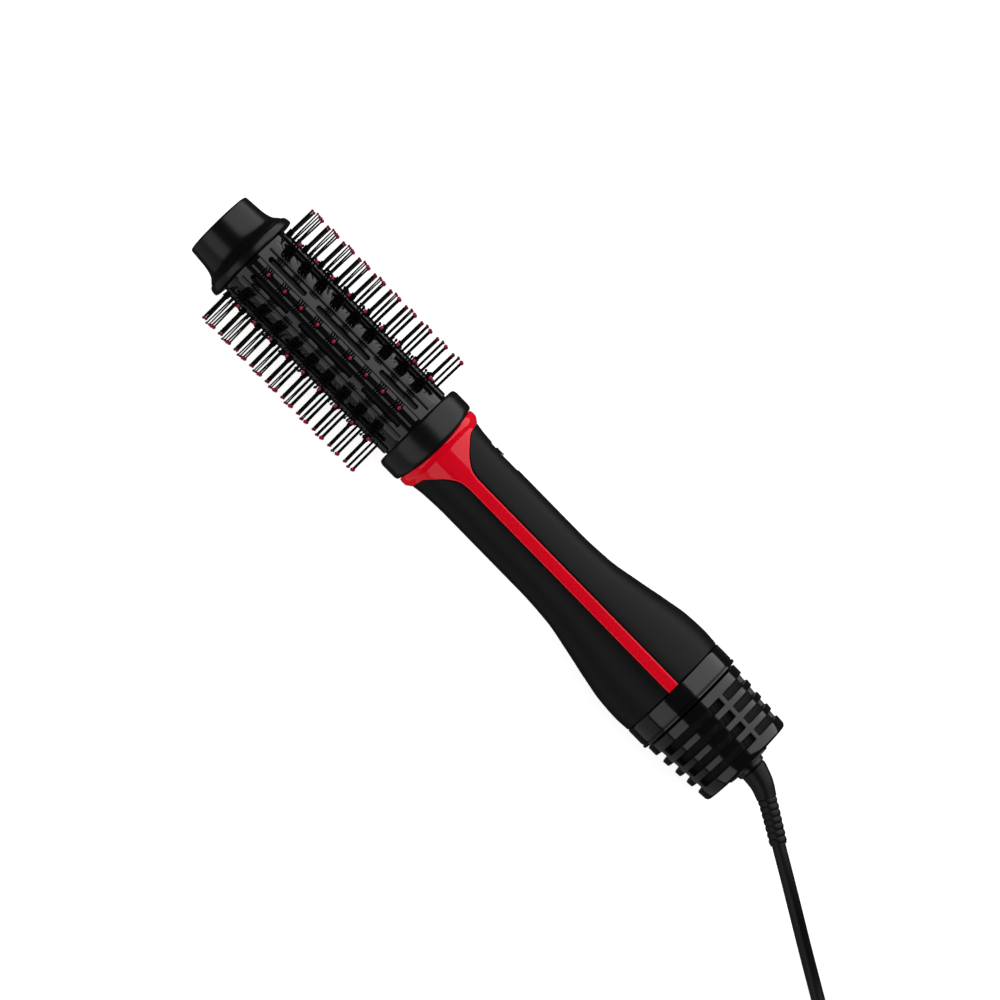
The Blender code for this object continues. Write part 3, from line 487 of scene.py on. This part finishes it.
def power_cord():
    """One length of cord: out of the sleeve, down to the floor, round the coil and on to the plug."""
    inside = [tuple(AXIS @ (Vector((x, y, 0)) * MM)) for x, y in RELIEF_ROUTE[1:-1]]
    coil = coil_points()
    route = inside + CORD_ROUTE + [tuple(coil[0])]
    points = curve_points(route, 4) + coil[1:-1] + curve_points([tuple(coil[-1])] + LEAD_ROUTE, 4)
    data = bpy.data.curves.new("power_cord_visual", "CURVE")
    data.dimensions = "3D"
    data.bevel_depth = CORD_R * MM
    data.bevel_resolution = 6
    data.use_fill_caps = True
    data.resolution_u = 1
    data.render_resolution_u = 0
    spline = data.splines.new("POLY")
    spline.points.add(len(points) - 1)
    for slot, p in zip(spline.points, points):
        slot.co = (*p, 1)
    spline.use_smooth = True
    cord = bpy.data.objects.new("mains_cord", data)
    bpy.context.scene.collection.objects.link(cord)
    data.materials.append(RUBBER)
    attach(cord, "cord_set")
    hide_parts("power_cord", "cord_coil", "cord_lead")
    return cord, points[0]


def swept_mesh(name, centres, radii, sides=28):
    sections = []
    for k, (p, r) in enumerate(zip(centres, radii)):
        before, after = centres[max(k - 1, 0)], centres[min(k + 1, len(centres) - 1)]
        along = (Vector(after) - Vector(before)).normalized()
        across = Vector((-along.y, along.x, 0))
        up = Vector((0, 0, 1))
        sections.append([
            (Vector(p) + across * r * math.cos(a) + up * r * math.sin(a)) * MM
            for a in (2 * math.pi * s / sides for s in range(sides))
        ])
    return lofted_mesh(name, sections)


def strain_relief():
    """A smooth stem that tapers into a sleeve with rounded ribs, made like a bellows."""
    centres = [(x, 0, 0) for x in (340.9, 344.2, 344.2, 353.1)]
    radii = [6.9, 6.9, JOURNAL_R, JOURNAL_R]
    stem_end = 367.2
    for x in [SWIVEL_X] + spread(SWIVEL_X + 0.4, stem_end, 16):
        t = (x - SWIVEL_X) / (stem_end - SWIVEL_X)
        centres.append((x, smooth(RELIEF_ROUTE, x), 0))
        radii.append(STEM_R[0] - (STEM_R[0] - STEM_R[1]) * t - (0.35 if x == SWIVEL_X else 0.0))
    for x in spread(stem_end, RELIEF_ROUTE[-1][0], 84)[1:]:
        phase = ((x - stem_end) / RELIEF_RIB_PITCH) % 1.0
        groove = 0.5 - 0.5 * math.cos(2 * math.pi * phase)
        centres.append((x, smooth(RELIEF_ROUTE, x), 0))
        rib = RIB_R[1] + (RIB_R[0] - RIB_R[1]) * min(1.0, 1.6 * groove)
        radii.append(rib - RIB_TAPER * (x - stem_end) / (RELIEF_ROUTE[-1][0] - stem_end))
    mesh = swept_mesh("strain_relief_fine", centres, radii)
    return add_piece("cord_sleeve", mesh, [RUBBER], "cord_set", ["strain_relief"])


def cord_tie():
    """A strap round the bundle, standing a little prouder across its middle."""
    low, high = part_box("cord_tie")
    middle, half = (low + high) / 2, (high - low) / 2
    thick = 0.0009
    corner = 0.004
    sections = []
    for y in spread(-half.y, half.y, 6):
        sections.append(y)
    bm = bmesh.new()
    steps = 8
    outline = []
    for cx, cz, start in ((1, 1, 0), (-1, 1, 90), (-1, -1, 180), (1, -1, 270)):
        for k in range(steps + 1):
            a = math.radians(start + 90 * k / steps)
            outline.append((
                cx * (half.x - corner) + corner * math.cos(a), cz * (half.z - corner) + corner * math.sin(a),
                math.cos(a), math.sin(a),
            ))
    rings = []
    for y in sections:
        swell = 0.00008 if abs(y) < half.y * 0.8 else 0.0
        rings.append([
            [bm.verts.new(middle + Vector((x - nx * d, y, z - nz * d))) for x, z, nx, nz in outline]
            for d in (-swell + 0.0001, thick)
        ])
    count = len(outline)
    for (out0, in0), (out1, in1) in zip(rings, rings[1:]):
        for k in range(count):
            n = (k + 1) % count
            bm.faces.new((out0[k], out0[n], out1[n], out1[k]))
            bm.faces.new((in0[k], in0[n], in1[n], in1[k]))
    for out, inner in (rings[0], rings[-1]):
        for k in range(count):
            n = (k + 1) % count
            bm.faces.new((out[k], out[n], inner[n], inner[k]))
    mesh = finished("tie_fine", bm)
    return add_piece("tie_strap", mesh, [RUBBER], "cord_set", ["cord_tie"], Matrix.Identity(4))


def plug():
    """A flat two-pin plug on its broad side, with grip ribs, and its two pins."""
    end, before = Vector(LEAD_ROUTE[-1]), Vector(LEAD_ROUTE[-2])
    place = Matrix.Translation(end) @ Matrix.Rotation(math.atan2(end.y - before.y, end.x - before.x), 4, "Z")
    rise = PLUG_THICKNESS / 2 - end.z / MM + 0.05
    widths = [(x, width) for x, width, height in PLUG_SECTIONS]
    heights = [(x, height) for x, width, height in PLUG_SECTIONS]
    sections = []
    ends = {PLUG_SECTIONS[0][0], PLUG_SECTIONS[-1][0]}
    stations = sorted({*ends, *spread(1, 13, 10), *spread(14, 33.5, 39), 34.0, 34.8})
    for x in stations:
        width = smooth(widths, x)
        height = smooth(heights, x)
        if 17 < x < 29:
            width -= 0.35 * (0.5 - 0.5 * math.cos(2 * math.pi * (x - 17) / 3))
        corner = height * 0.55
        outline = []
        for sy, sz, start in ((1, 1, 0), (-1, 1, 90), (-1, -1, 180), (1, -1, 270)):
            for a in spread(start, start + 90, 6):
                y = sy * (width - corner) + corner * math.cos(math.radians(a))
                z = sz * (height - corner) + corner * math.sin(math.radians(a))
                outline.append(Vector((x, y, z + rise)) * MM)
        sections.append(outline)
    body = add_piece(
        "plug_moulding", lofted_mesh("plug_fine", sections), [RUBBER], "cord_set", ["plug_body"],
        place,
    )
    pieces = [body]
    start = PLUG_SECTIONS[-1][0] + GAP
    tip = start + PLUG_PIN_LENGTH
    sleeve_r = PLUG_PIN_R - 0.12
    profile = [
        (start, 0), (start, sleeve_r), (start + 9.5, sleeve_r), (start + 9.7, PLUG_PIN_R),
        (tip - 1.6, PLUG_PIN_R), (tip - 0.8, PLUG_PIN_R * 0.85), (tip - 0.2, PLUG_PIN_R * 0.5),
        (tip, PLUG_PIN_R * 0.2), (tip, 0),
    ]
    for side, spot in (("left", 1), ("right", -1)):
        mesh = turned_mesh("pin_" + side, profile, 32)
        shift = Matrix.Translation(Vector((0, spot * PLUG_PIN_SPACING / 2, rise)) * MM)
        pin = add_piece(
            "contact_pin_" + side, mesh, [BRASS, RUBBER], "cord_set", ["plug_pin_" + side],
            place @ shift,
        )
        for face in mesh.polygons:
            if face.center.x < (start + 9.6) * MM:
                face.material_index = 1
        pieces.append(pin)
    return pieces


# Head


def cool_tip():
    outline = [
        (0.8, 17.7), (10.0, 18.4), (12.7, 18.9), (15.4, 19.8), (18.2, 22.1), (20.6, 23.8), (21.7, 24.2),
    ]
    profile = [(0.0, 0.0), (0.0, 16.6), (0.12, 17.05), (0.4, 17.45)]
    profile += [(x, smooth(outline, x)) for x in spread(0.8, 18.5, 38)]
    profile += [(18.75, 22.2), (19.0, 22.95), (19.4, 23.45), (20.0, 23.8), (21.0, 24.1), (21.7, 24.2)]
    profile += [(22.4, 24.24), (22.9, 24.15), (23.25, 23.9), (23.4, 23.5)]
    profile += [(23.4, 16.9), (2.6, 15.0), (2.6, 4.2)]
    profile += [(24.2, 4.2), (24.2, 1.9), (9.0, 1.9), (9.0, 0.0)]
    mesh = turned_mesh("tip_fine", profile)
    add_piece("cool_grip_tip", mesh, [SATIN_BLACK], "brush", ["cool_tip"])


def barrel():
    """The metal tube, with chamfered slots in lines midway between the bristle rows."""
    lead, back = BARREL_X
    edge = 0.4
    profile = [
        (lead, BARREL_R - BARREL_WALL), (lead, BARREL_R - edge), (lead + edge, BARREL_R),
        (back - edge, BARREL_R), (back, BARREL_R - edge), (back, BARREL_R - BARREL_WALL),
    ]
    tube = add_piece("heated_barrel", turned_mesh("barrel_fine", profile, 160), [GLOSS_BLACK], "brush",
                     ["barrel"])
    bm = bmesh.new()
    chamfer = 0.35
    levels = ((14.0, 0.0), (BARREL_R - chamfer, 0.0), (BARREL_R + 1.0, chamfer + 1.0))
    for row in range(ROWS):
        turn = Matrix.Rotation(-math.radians(ROW_STEP * (row + 0.5)), 4, "X")
        for low, high in SLOT_RUNS:
            rings = []
            for r, wider in levels:
                half = SLOT_WIDTH / 2 + wider
                ring = []
                for centre, start in ((high - SLOT_WIDTH / 2, -90), (low + SLOT_WIDTH / 2, 90)):
                    for a in spread(start, start + 180, 12):
                        x = centre + half * math.cos(math.radians(a))
                        y = half * math.sin(math.radians(a))
                        ring.append(bm.verts.new(turn @ (Vector((x, y, r)) * MM)))
                rings.append(ring)
            for a, b in zip(rings, rings[1:]):
                for k in range(len(a)):
                    n = (k + 1) % len(a)
                    bm.faces.new((a[k], a[n], b[n], b[k]))
            bm.faces.new(rings[0])
            bm.faces.new(rings[-1])
    tool = bpy.data.objects.new("slots", finished("slots", bm))
    bpy.context.scene.collection.objects.link(tool)
    tool.matrix_world = AXIS
    cut(tube, tool)


def add_pin(bm, foot, tip, radius, ball, look):
    """A round pin with a rounded end; ball is the end's radius. Its last faces take the material look."""
    foot, tip = Vector(foot), Vector(tip)
    along = (tip - foot).normalized()
    across = along.orthogonal().normalized()
    other = along.cross(across)
    length = (tip - foot).length
    neck = length - 1.75 * ball
    levels = [(0.0, radius * 1.25, 0), (0.8, radius, 0), (neck - 0.3, radius * 0.85, 0)]
    for a in (-55, -25, 5, 35, 62):
        angle = math.radians(a)
        levels.append((length - ball + ball * math.sin(angle), ball * math.cos(angle), look))
    sides = 10
    rings = []
    for height, r, kind in levels:
        ring = []
        for s in range(sides):
            a = 2 * math.pi * s / sides
            outwards = across * math.cos(a) + other * math.sin(a)
            ring.append(bm.verts.new((foot + along * height + outwards * r) * MM))
        rings.append((ring, kind))
    for (a, kind), (b, kind_b) in zip(rings, rings[1:]):
        for k in range(sides):
            n = (k + 1) % sides
            face = bm.faces.new((a[k], a[n], b[n], b[k]))
            face.material_index = kind_b
            face.smooth = True
    bm.faces.new(rings[0][0])
    top = bm.verts.new(tip * MM)
    for k in range(sides):
        face = bm.faces.new((rings[-1][0][k], rings[-1][0][(k + 1) % sides], top))
        face.material_index = look
        face.smooth = True


def row_mesh(pins, stations, tuft):
    """A carrier strip with a rounded top, its pins, and short bristles round their feet."""
    count, first_x, pitch = stations
    bm = bmesh.new()
    sections = []
    low, high = STRIP_R
    w = STRIP_HALF_WIDTH
    for x, inset in ((STRIP_X[0], 0.5), (STRIP_X[0] + 0.5, 0.0), (STRIP_X[1] - 0.5, 0.0), (STRIP_X[1], 0.5)):
        outline = [(w, low), (w, high - 0.35), (w - 0.35, high - inset * 0.3),
                   (0.0, high + 0.12 - inset * 0.3),
                   (-w + 0.35, high - inset * 0.3), (-w, high - 0.35), (-w, low)]
        sections.append([bm.verts.new(Vector((x, y, z)) * MM) for y, z in outline])
    for a, b in zip(sections, sections[1:]):
        for k in range(len(a)):
            n = (k + 1) % len(a)
            bm.faces.new((a[k], a[n], b[n], b[k]))
    bm.faces.new(sections[0])
    bm.faces.new(sections[-1])
    for face in bm.faces:
        face.material_index = 3
    for station in range(count):
        x = first_x + pitch * station
        for place, foot, radius, reach, look in pins:
            ball = 0.95 if look == 1 else 0.55 + radius * 0.3
            add_pin(bm, (x + foot, 0, PIN_FOOT_R), (x + place, 0, reach), radius, ball, look)
        for along, side, height in tuft:
            end = (x + along * 1.05, side * TUFT_FAN, height)
            add_pin(bm, (x + along, side, PIN_FOOT_R), end, TUFT_PIN_R, TUFT_END_R, 0)
    bmesh.ops.recalc_face_normals(bm, faces=bm.faces)
    mesh = bpy.data.meshes.new("row")
    bm.to_mesh(mesh)
    bm.free()
    mesh.shade_smooth()
    mesh.set_sharp_from_angle(angle=math.radians(45))
    return mesh


TUFT_PIN_R = 0.42
TUFT_END_R = 0.4
TUFT_FAN = 1.9  # how much further to the side a short bristle's end is than its foot
# Short bristles at a station: place along the row, to the side, and how far out they reach.
FANNED_TUFT = (
    (-3.9, 0.0, 27.6), (-3.4, 1.2, 25.8), (-3.4, -1.2, 26.2), (-2.9, 0.5, 27.0), (-2.2, 1.6, 26.6),
    (-2.2, -1.6, 25.9), (-1.6, -0.5, 26.9), (-0.9, 1.5, 25.7), (-0.9, -1.5, 26.5), (-0.2, 0.4, 26.0),
    (0.3, 1.2, 25.0), (0.3, -1.2, 25.4), (0.7, 0.0, 25.6),
)
UPRIGHT_TUFT = ((-6.3, 0.7, 23.0), (-5.9, -0.8, 23.4), (-4.7, 0.8, 22.6), (-4.7, -0.7, 22.9))


def bristle_rows():
    """The side rows carry upright pins, the others fanned ones in a compact tuft."""
    for row in range(ROWS):
        if row in UPRIGHT_ROWS:
            mesh = row_mesh(UPRIGHT_PINS, UPRIGHT_STATIONS, UPRIGHT_TUFT)
        else:
            mesh = row_mesh(FANNED_PINS, FANNED_STATIONS, FANNED_TUFT)
        turn = AXIS @ Matrix.Rotation(-math.radians(ROW_STEP * row), 4, "X")
        node = f"bristle_row_{row + 1:02d}"
        add_piece(f"pin_row_{row + 1:02d}", mesh, [NYLON, BALL_RED, BALL_DARK, GLOSS_BLACK], "brush", [node],
                  turn)


# Neck and handle


def bowed(x, angle):
    """The collar's rear edge and the trim's front edge run further back at the two stripes."""
    near_edge = max(0.0, 1 - abs(x - COLLAR_X[1]) / 2.5)
    return EDGE_BOW * math.cos(2 * angle) * near_edge


def collar():
    lead, back = COLLAR_X
    outline = [(lead, 22.6), (lead + 0.15, 23.0), (lead + 0.6, 23.45), (lead + 1.3, 23.8)]
    outline += [(lead + 2.4, COLLAR_R)]
    outline += [(x, COLLAR_R) for x in spread(134.5, 139.5, 5)]
    outline += [(140.5, 23.97), (141.5, 23.85), (142.4, 23.65), (143.2, 23.35), (143.9, 22.95), (back, 22.3)]
    profile = [(lead, 19.3)] + outline + [(back, 19.3)]
    mesh = turned_mesh("collar_fine", profile, 144, bowed)
    add_piece("neck_collar", mesh, [SATIN_BLACK], "brush", ["collar"])


def handle_r(x):
    return smooth(HANDLE_OUTLINE, x)


def trim_half_angle(x):
    """Half the angle that the trim covers at each stripe, in degrees."""
    stripe = math.degrees(math.asin(STRIPE_HALF_WIDTH / handle_r(x)))
    if x <= TRIM_RING_END_X:
        return 90.0
    if x < TRIM_FLARE[-1][0]:
        return max(stripe, smooth(TRIM_FLARE, x))
    return stripe


def trim_r(x):
    ring = ((144.7, 22.4), (145.3, 23.0), (147.0, 22.9), (148.4, 21.9), (149.4, 21.15), (152.0, 20.55))
    return straight(ring, x) if x < ring[-1][0] else handle_r(x) + TRIM_PROUD


def soft_trim_r(x):
    """The trim's radius with the ring's corners rounded off."""
    spans = (-0.45, -0.15, 0.15, 0.45)
    inside = [min(max(x + s, TRIM_X[0]), TRIM_X[1]) for s in spans]
    return sum(trim_r(p) for p in inside) / len(inside)


def red_trim():
    """One moulding: a ring behind the collar, and a tongue down each side that narrows to a stripe."""
    stations = spread(144.7, 149.4, 14) + [149.7, 150.0, 150.4] + spread(151, 170, 38)
    stations += spread(172, 236, 16) + spread(238, TRIM_X[1], 24)
    edge = 0.4
    bm = bmesh.new()
    for side in (0, 180):
        skins = []
        for inner in (False, True):
            rows = []
            for x in stations:
                half = trim_half_angle(x)
                r = soft_trim_r(x)
                step = math.degrees(edge / r)
                angles = [-half, -half + step * 0.3, -half + step]
                angles += spread(-half + 2 * step, half - 2 * step, 28)
                angles += [half - step, half - step * 0.3, half]
                row = []
                for k, a in enumerate(angles):
                    from_edge = min(k, len(angles) - 1 - k)
                    fall = (0.55, 0.2, 0.03)[from_edge] if from_edge < 3 and half < 90 else 0.0
                    height = r - TRIM_DEPTH if inner else r - fall
                    if x > TRIM_X[1] - 0.3 and not inner:
                        height -= 0.3
                    p = at(x, height, side + a)
                    shift = bowed(x - 0.3, math.radians(side + a))
                    row.append(bm.verts.new(p + Vector((shift * MM, 0, 0))))
                rows.append(row)
            skins.append(rows)
        outer, inner = skins
        across = len(outer[0])
        for i in range(len(stations) - 1):
            for j in range(across - 1):
                for skin in skins:
                    bm.faces.new((skin[i][j], skin[i][j + 1], skin[i + 1][j + 1], skin[i + 1][j]))
            if stations[i + 1] > TRIM_RING_END_X + 0.01:
                for j in (0, across - 1):
                    bm.faces.new((outer[i][j], outer[i + 1][j], inner[i + 1][j], inner[i][j]))
        for i in (0, len(stations) - 1):
            for j in range(across - 1):
                bm.faces.new((outer[i][j], outer[i][j + 1], inner[i][j + 1], inner[i][j]))
    mesh = finished("trim_fine", bm, 50)
    add_piece("red_trim_moulding", mesh, [RED], "brush", ["red_trim"])


def shell_mesh(name, middle):
    """Half the handle, round from one stripe to the other, with a thin lip that runs under the stripes."""
    stations = spread(149.9, 151, 3) + spread(151.5, 170, 37) + spread(172, 236, 20) + spread(238, 298.6, 40)
    stations += [299.2, 299.55, SHELL_X[1]]
    sections = []
    lip_depth = TRIM_DEPTH + GAP
    for x in stations:
        r = handle_r(x)
        rounding = max(0.0, x - 299.1) ** 2 * 0.7
        edge = trim_half_angle(x) + math.degrees(GAP / r)
        split = math.degrees(GAP / 2 / r)
        step = math.degrees(0.35 / r)
        lip = min(r - lip_depth, trim_r(x) - TRIM_DEPTH - GAP)
        inner_r = min(r - SHELL_WALL, lip - 0.3)
        ring = [(r - 0.4, edge), (r - 0.1, edge + step * 0.3), (r, edge + step)]
        ring += [(r, a) for a in spread(edge + 2 * step, 180 - edge - 2 * step, 60)]
        ring += [(r, 180 - edge - step), (r - 0.1, 180 - edge - step * 0.3), (r - 0.4, 180 - edge)]
        ring = [(radius - rounding, a) for radius, a in ring]
        ring += [(lip, 180 - edge), (lip, 180 - split)]
        ring += [(inner_r, a) for a in spread(180 - split, split, 40)]
        ring += [(lip, split), (lip, edge)]
        sections.append([at(x, radius, middle - 90 + a) for radius, a in ring])
    return lofted_mesh(name, sections)


def rounded_block(name, low, high, corner, steps=6):
    """A block along y whose outline in x and z has round corners."""
    outline = []
    corners = ((high[0], high[2], 0), (low[0], high[2], 90), (low[0], low[2], 180), (high[0], low[2], 270))
    for cx, cz, start in corners:
        mx = cx - corner if cx == high[0] else cx + corner
        mz = cz - corner if cz == high[2] else cz + corner
        for a in spread(start, start + 90, steps):
            outline.append((mx + corner * math.cos(math.radians(a)), mz + corner * math.sin(math.radians(a))))
    return lofted_mesh(name, [[Vector((x, y, z)) * MM for x, z in outline] for y in (low[1], high[1])])


def shells():
    front = add_piece("handle_front", shell_mesh("front_fine", 90), [SOFT_BLACK], "brush", ["front_shell"])
    rear = shell_mesh("rear_fine", 270)
    add_piece("handle_rear", rear, [SOFT_BLACK], "brush", ["rear_shell"])
    low = (SWITCH_X[0], 10, -SWITCH_HALF_WIDTH)
    high = (SWITCH_X[1], 25, SWITCH_HALF_WIDTH)
    tool = bpy.data.objects.new("window", rounded_block("window", low, high, 1.2))
    bpy.context.scene.collection.objects.link(tool)
    tool.matrix_world = AXIS
    cut(front, tool)


def switch():
    """The recessed plate with its slot, and the ribbed thumb piece that slides in it."""
    inside = SWITCH_HALF_WIDTH - GAP
    low = (SWITCH_X[0] + GAP, 16.9, -inside)
    high = (SWITCH_X[1] - GAP, SWITCH_FLOOR_Y, inside)
    plate = add_piece("switch_plate", rounded_block("plate", low, high, 1.0), [SATIN_BLACK], "brush",
                      ["switch_bezel"])
    stem = (THUMB_X[0] + 1.3, THUMB_X[1] - 1.3)
    slot_low = (stem[0] - GAP, 15, -1.3)
    slot_high = (stem[1] + THUMB_TRAVEL + GAP, 20, 1.3)
    tool = bpy.data.objects.new("plate_slot", rounded_block("plate_slot", slot_low, slot_high, 0.6))
    bpy.context.scene.collection.objects.link(tool)
    tool.matrix_world = AXIS
    cut(plate, tool)

    foot, top = SWITCH_FLOOR_Y + GAP, SWITCH_FLOOR_Y + 1.1
    lead, back = THUMB_X
    line = [(lead, foot), (lead + 0.25, top - 0.4), (lead + 0.6, top)]
    ribs = 4
    for k in range(ribs):
        x = lead + 0.95 + (back - lead - 1.9) * (k + 0.5) / ribs
        line += [(x - 0.28, top), (x - 0.14, top - 0.28), (x + 0.14, top - 0.28), (x + 0.28, top)]
    line += [(back - 0.6, top), (back - 0.25, top - 0.4), (back, foot)]
    line += [(stem[1], foot), (stem[1], 15.0), (stem[0], 15.0), (stem[0], foot)]
    cap = [p for p in line[:-4]]
    bm = bmesh.new()
    ends = [[bm.verts.new(Vector((x, y, z)) * MM) for x, y in cap] for z in (-3.2, -2.9, 2.9, 3.2)]
    for ring, z in ((ends[0], -1), (ends[-1], 1)):
        for v in ring:
            v.co.y = min(v.co.y, (top - 0.3) * MM)
    for a, b in zip(ends, ends[1:]):
        for k in range(len(cap)):
            n = (k + 1) % len(cap)
            bm.faces.new((a[k], a[n], b[n], b[k]))
    bm.faces.new(ends[0])
    bm.faces.new(ends[-1])
    mesh = finished("thumb_fine", bm)
    thumb = add_piece("thumb_slider", mesh, [SATIN_BLACK], "switch", ["switch_thumb"])
    stem_mesh = rounded_block("stem_fine", (stem[0], 15.0, -1.0), (stem[1], foot + 0.3, 1.0), 0.3)
    tool = bpy.data.objects.new("stem", stem_mesh)
    bpy.context.scene.collection.objects.link(tool)
    tool.matrix_world = AXIS
    cut(thumb, tool, "UNION")


# Tail


def tail_ring():
    profile = [
        (300.1, 25.0), (300.1, 28.0), (300.2, 28.35), (300.5, 28.55), (300.9, 28.6), (308.6, 28.6),
        (309.2, 28.5), (309.5, 28.2), (309.75, 28.2), (309.95, 28.6), (310.2, 28.86), (310.6, 28.9),
        (311.0, 28.86), (311.3, 28.6),
        (311.4, 28.2), (311.4, 25.0),
    ]
    mesh = turned_mesh("tail_ring_fine", profile, 144)
    add_piece("tail_band", mesh, [GLOSS_BLACK], "brush", ["tail_ring"])


def inlet_grille():
    """Rings joined by lengthwise bars, as a grid round the axis with open windows."""
    xs = sorted({x for rib in GRILLE_RIBS for x in rib} | {GRILLE_X[1]})
    bar = math.degrees(GRILLE_BAR_WIDTH / 26.5)
    steps = 18
    columns = []
    for middle, following in zip(GRILLE_BARS, GRILLE_BARS[1:] + (GRILLE_BARS[0] + 360,)):
        columns += [middle - bar / 2] + spread(middle + bar / 2, following - bar / 2, steps)[:-1]
    count = len(columns)
    bm = bmesh.new()
    outer, inner = (
        [[bm.verts.new(at(x, straight(line, x), a)) for a in columns] for x in xs]
        for line in (GRILLE_OUTER, GRILLE_INNER)
    )
    solid_rows = {i for i in range(len(xs) - 1) if any(a <= xs[i] and xs[i + 1] <= b for a, b in GRILLE_RIBS)}
    solid_rows.add(len(xs) - 2)

    def solid(i, j):
        return 0 <= i < len(xs) - 1 and (i in solid_rows or j % count % (steps + 1) == 0)

    for i in range(len(xs) - 1):
        for j in range(count):
            if not solid(i, j):
                continue
            n = (j + 1) % count
            for skin in (outer, inner):
                bm.faces.new((skin[i][j], skin[i][n], skin[i + 1][n], skin[i + 1][j]))
            for open_side, i0, j0, i1, j1 in (
                (not solid(i - 1, j), i, j, i, n), (not solid(i + 1, j), i + 1, j, i + 1, n),
                (not solid(i, j - 1), i, j, i + 1, j), (not solid(i, j + 1), i, n, i + 1, n),
            ):
                if open_side:
                    bm.faces.new((outer[i0][j0], outer[i1][j1], inner[i1][j1], inner[i0][j0]))
    add_piece("intake_grille", finished("grille_fine", bm), [GLOSS_BLACK], "brush", ["inlet_grille"],
              bevel=0.3)
    mesh = turned_mesh("filter_fine", [(313, 23.9), (313, 24.4), (344.6, 22.7), (344.6, 22.2)], 144)
    add_piece("filter_screen", mesh, [MESH], "brush", ["filter_mesh"])


def end_cover():
    bore = JOURNAL_R + GAP
    plate = [
        (345.2, 9.5), (345.2, 22.4), (347.9, 22.4), (348.3, 22.25), (348.5, 21.9), (348.5, 19.2),
        (348.2, 18.9),
        (348.2, 14.2), (348.5, 13.9), (348.5, 9.5),
    ]
    add_piece("tail_plate", turned_mesh("plate_fine", plate, 120), [SATIN_BLACK], "brush", ["end_plate"])
    cover = [
        (348.8, bore), (348.8, 11.6), (349.1, 11.85), (350.1, 11.85), (350.45, 11.7), (350.6, 11.35),
        (350.6, 7.9),
        (350.8, 7.6), (352.5, 7.3), (352.8, 7.15), (352.9, 6.8), (352.9, bore),
    ]
    add_piece("swivel_cap", turned_mesh("swivel_fine", cover, 96), [SATIN_BLACK], "brush", ["swivel_cover"])


def inner_looks():
    """Materials for the CAD pieces that are seen only through openings."""
    looks = {
        "air_guide": INNER, "tip_plate": INNER, "tip_screw": STEEL,
        "heater_sleeve": MICA_SHEET, "mica_cross": MICA_SHEET,
        "heater_coil": STEEL, "thermostat": STEEL, "thermal_fuse": INNER, "neck_sleeve": INNER,
        "switch_body": INNER, "control_board": BOARD, "rectifier": INNER, "motor": STEEL,
        "motor_holder": INNER, "fan_shroud": INNER, "motor_shaft": STEEL, "impeller": INNER,
        "swivel_retainer": INNER, "contact_block": INNER, "contact_rings": BRASS,
    }
    for name, look in looks.items():
        for material_slot in frame["nodes"][name].material_slots:
            material_slot.material = look


camera()
cord, exit_point = power_cord()
sleeve = strain_relief()
tie = cord_tie()
plug_pieces = plug()
cool_tip()
barrel()
bristle_rows()
collar()
red_trim()
shells()
switch()
tail_ring()
inlet_grille()
end_cover()
inner_looks()
surroundings()
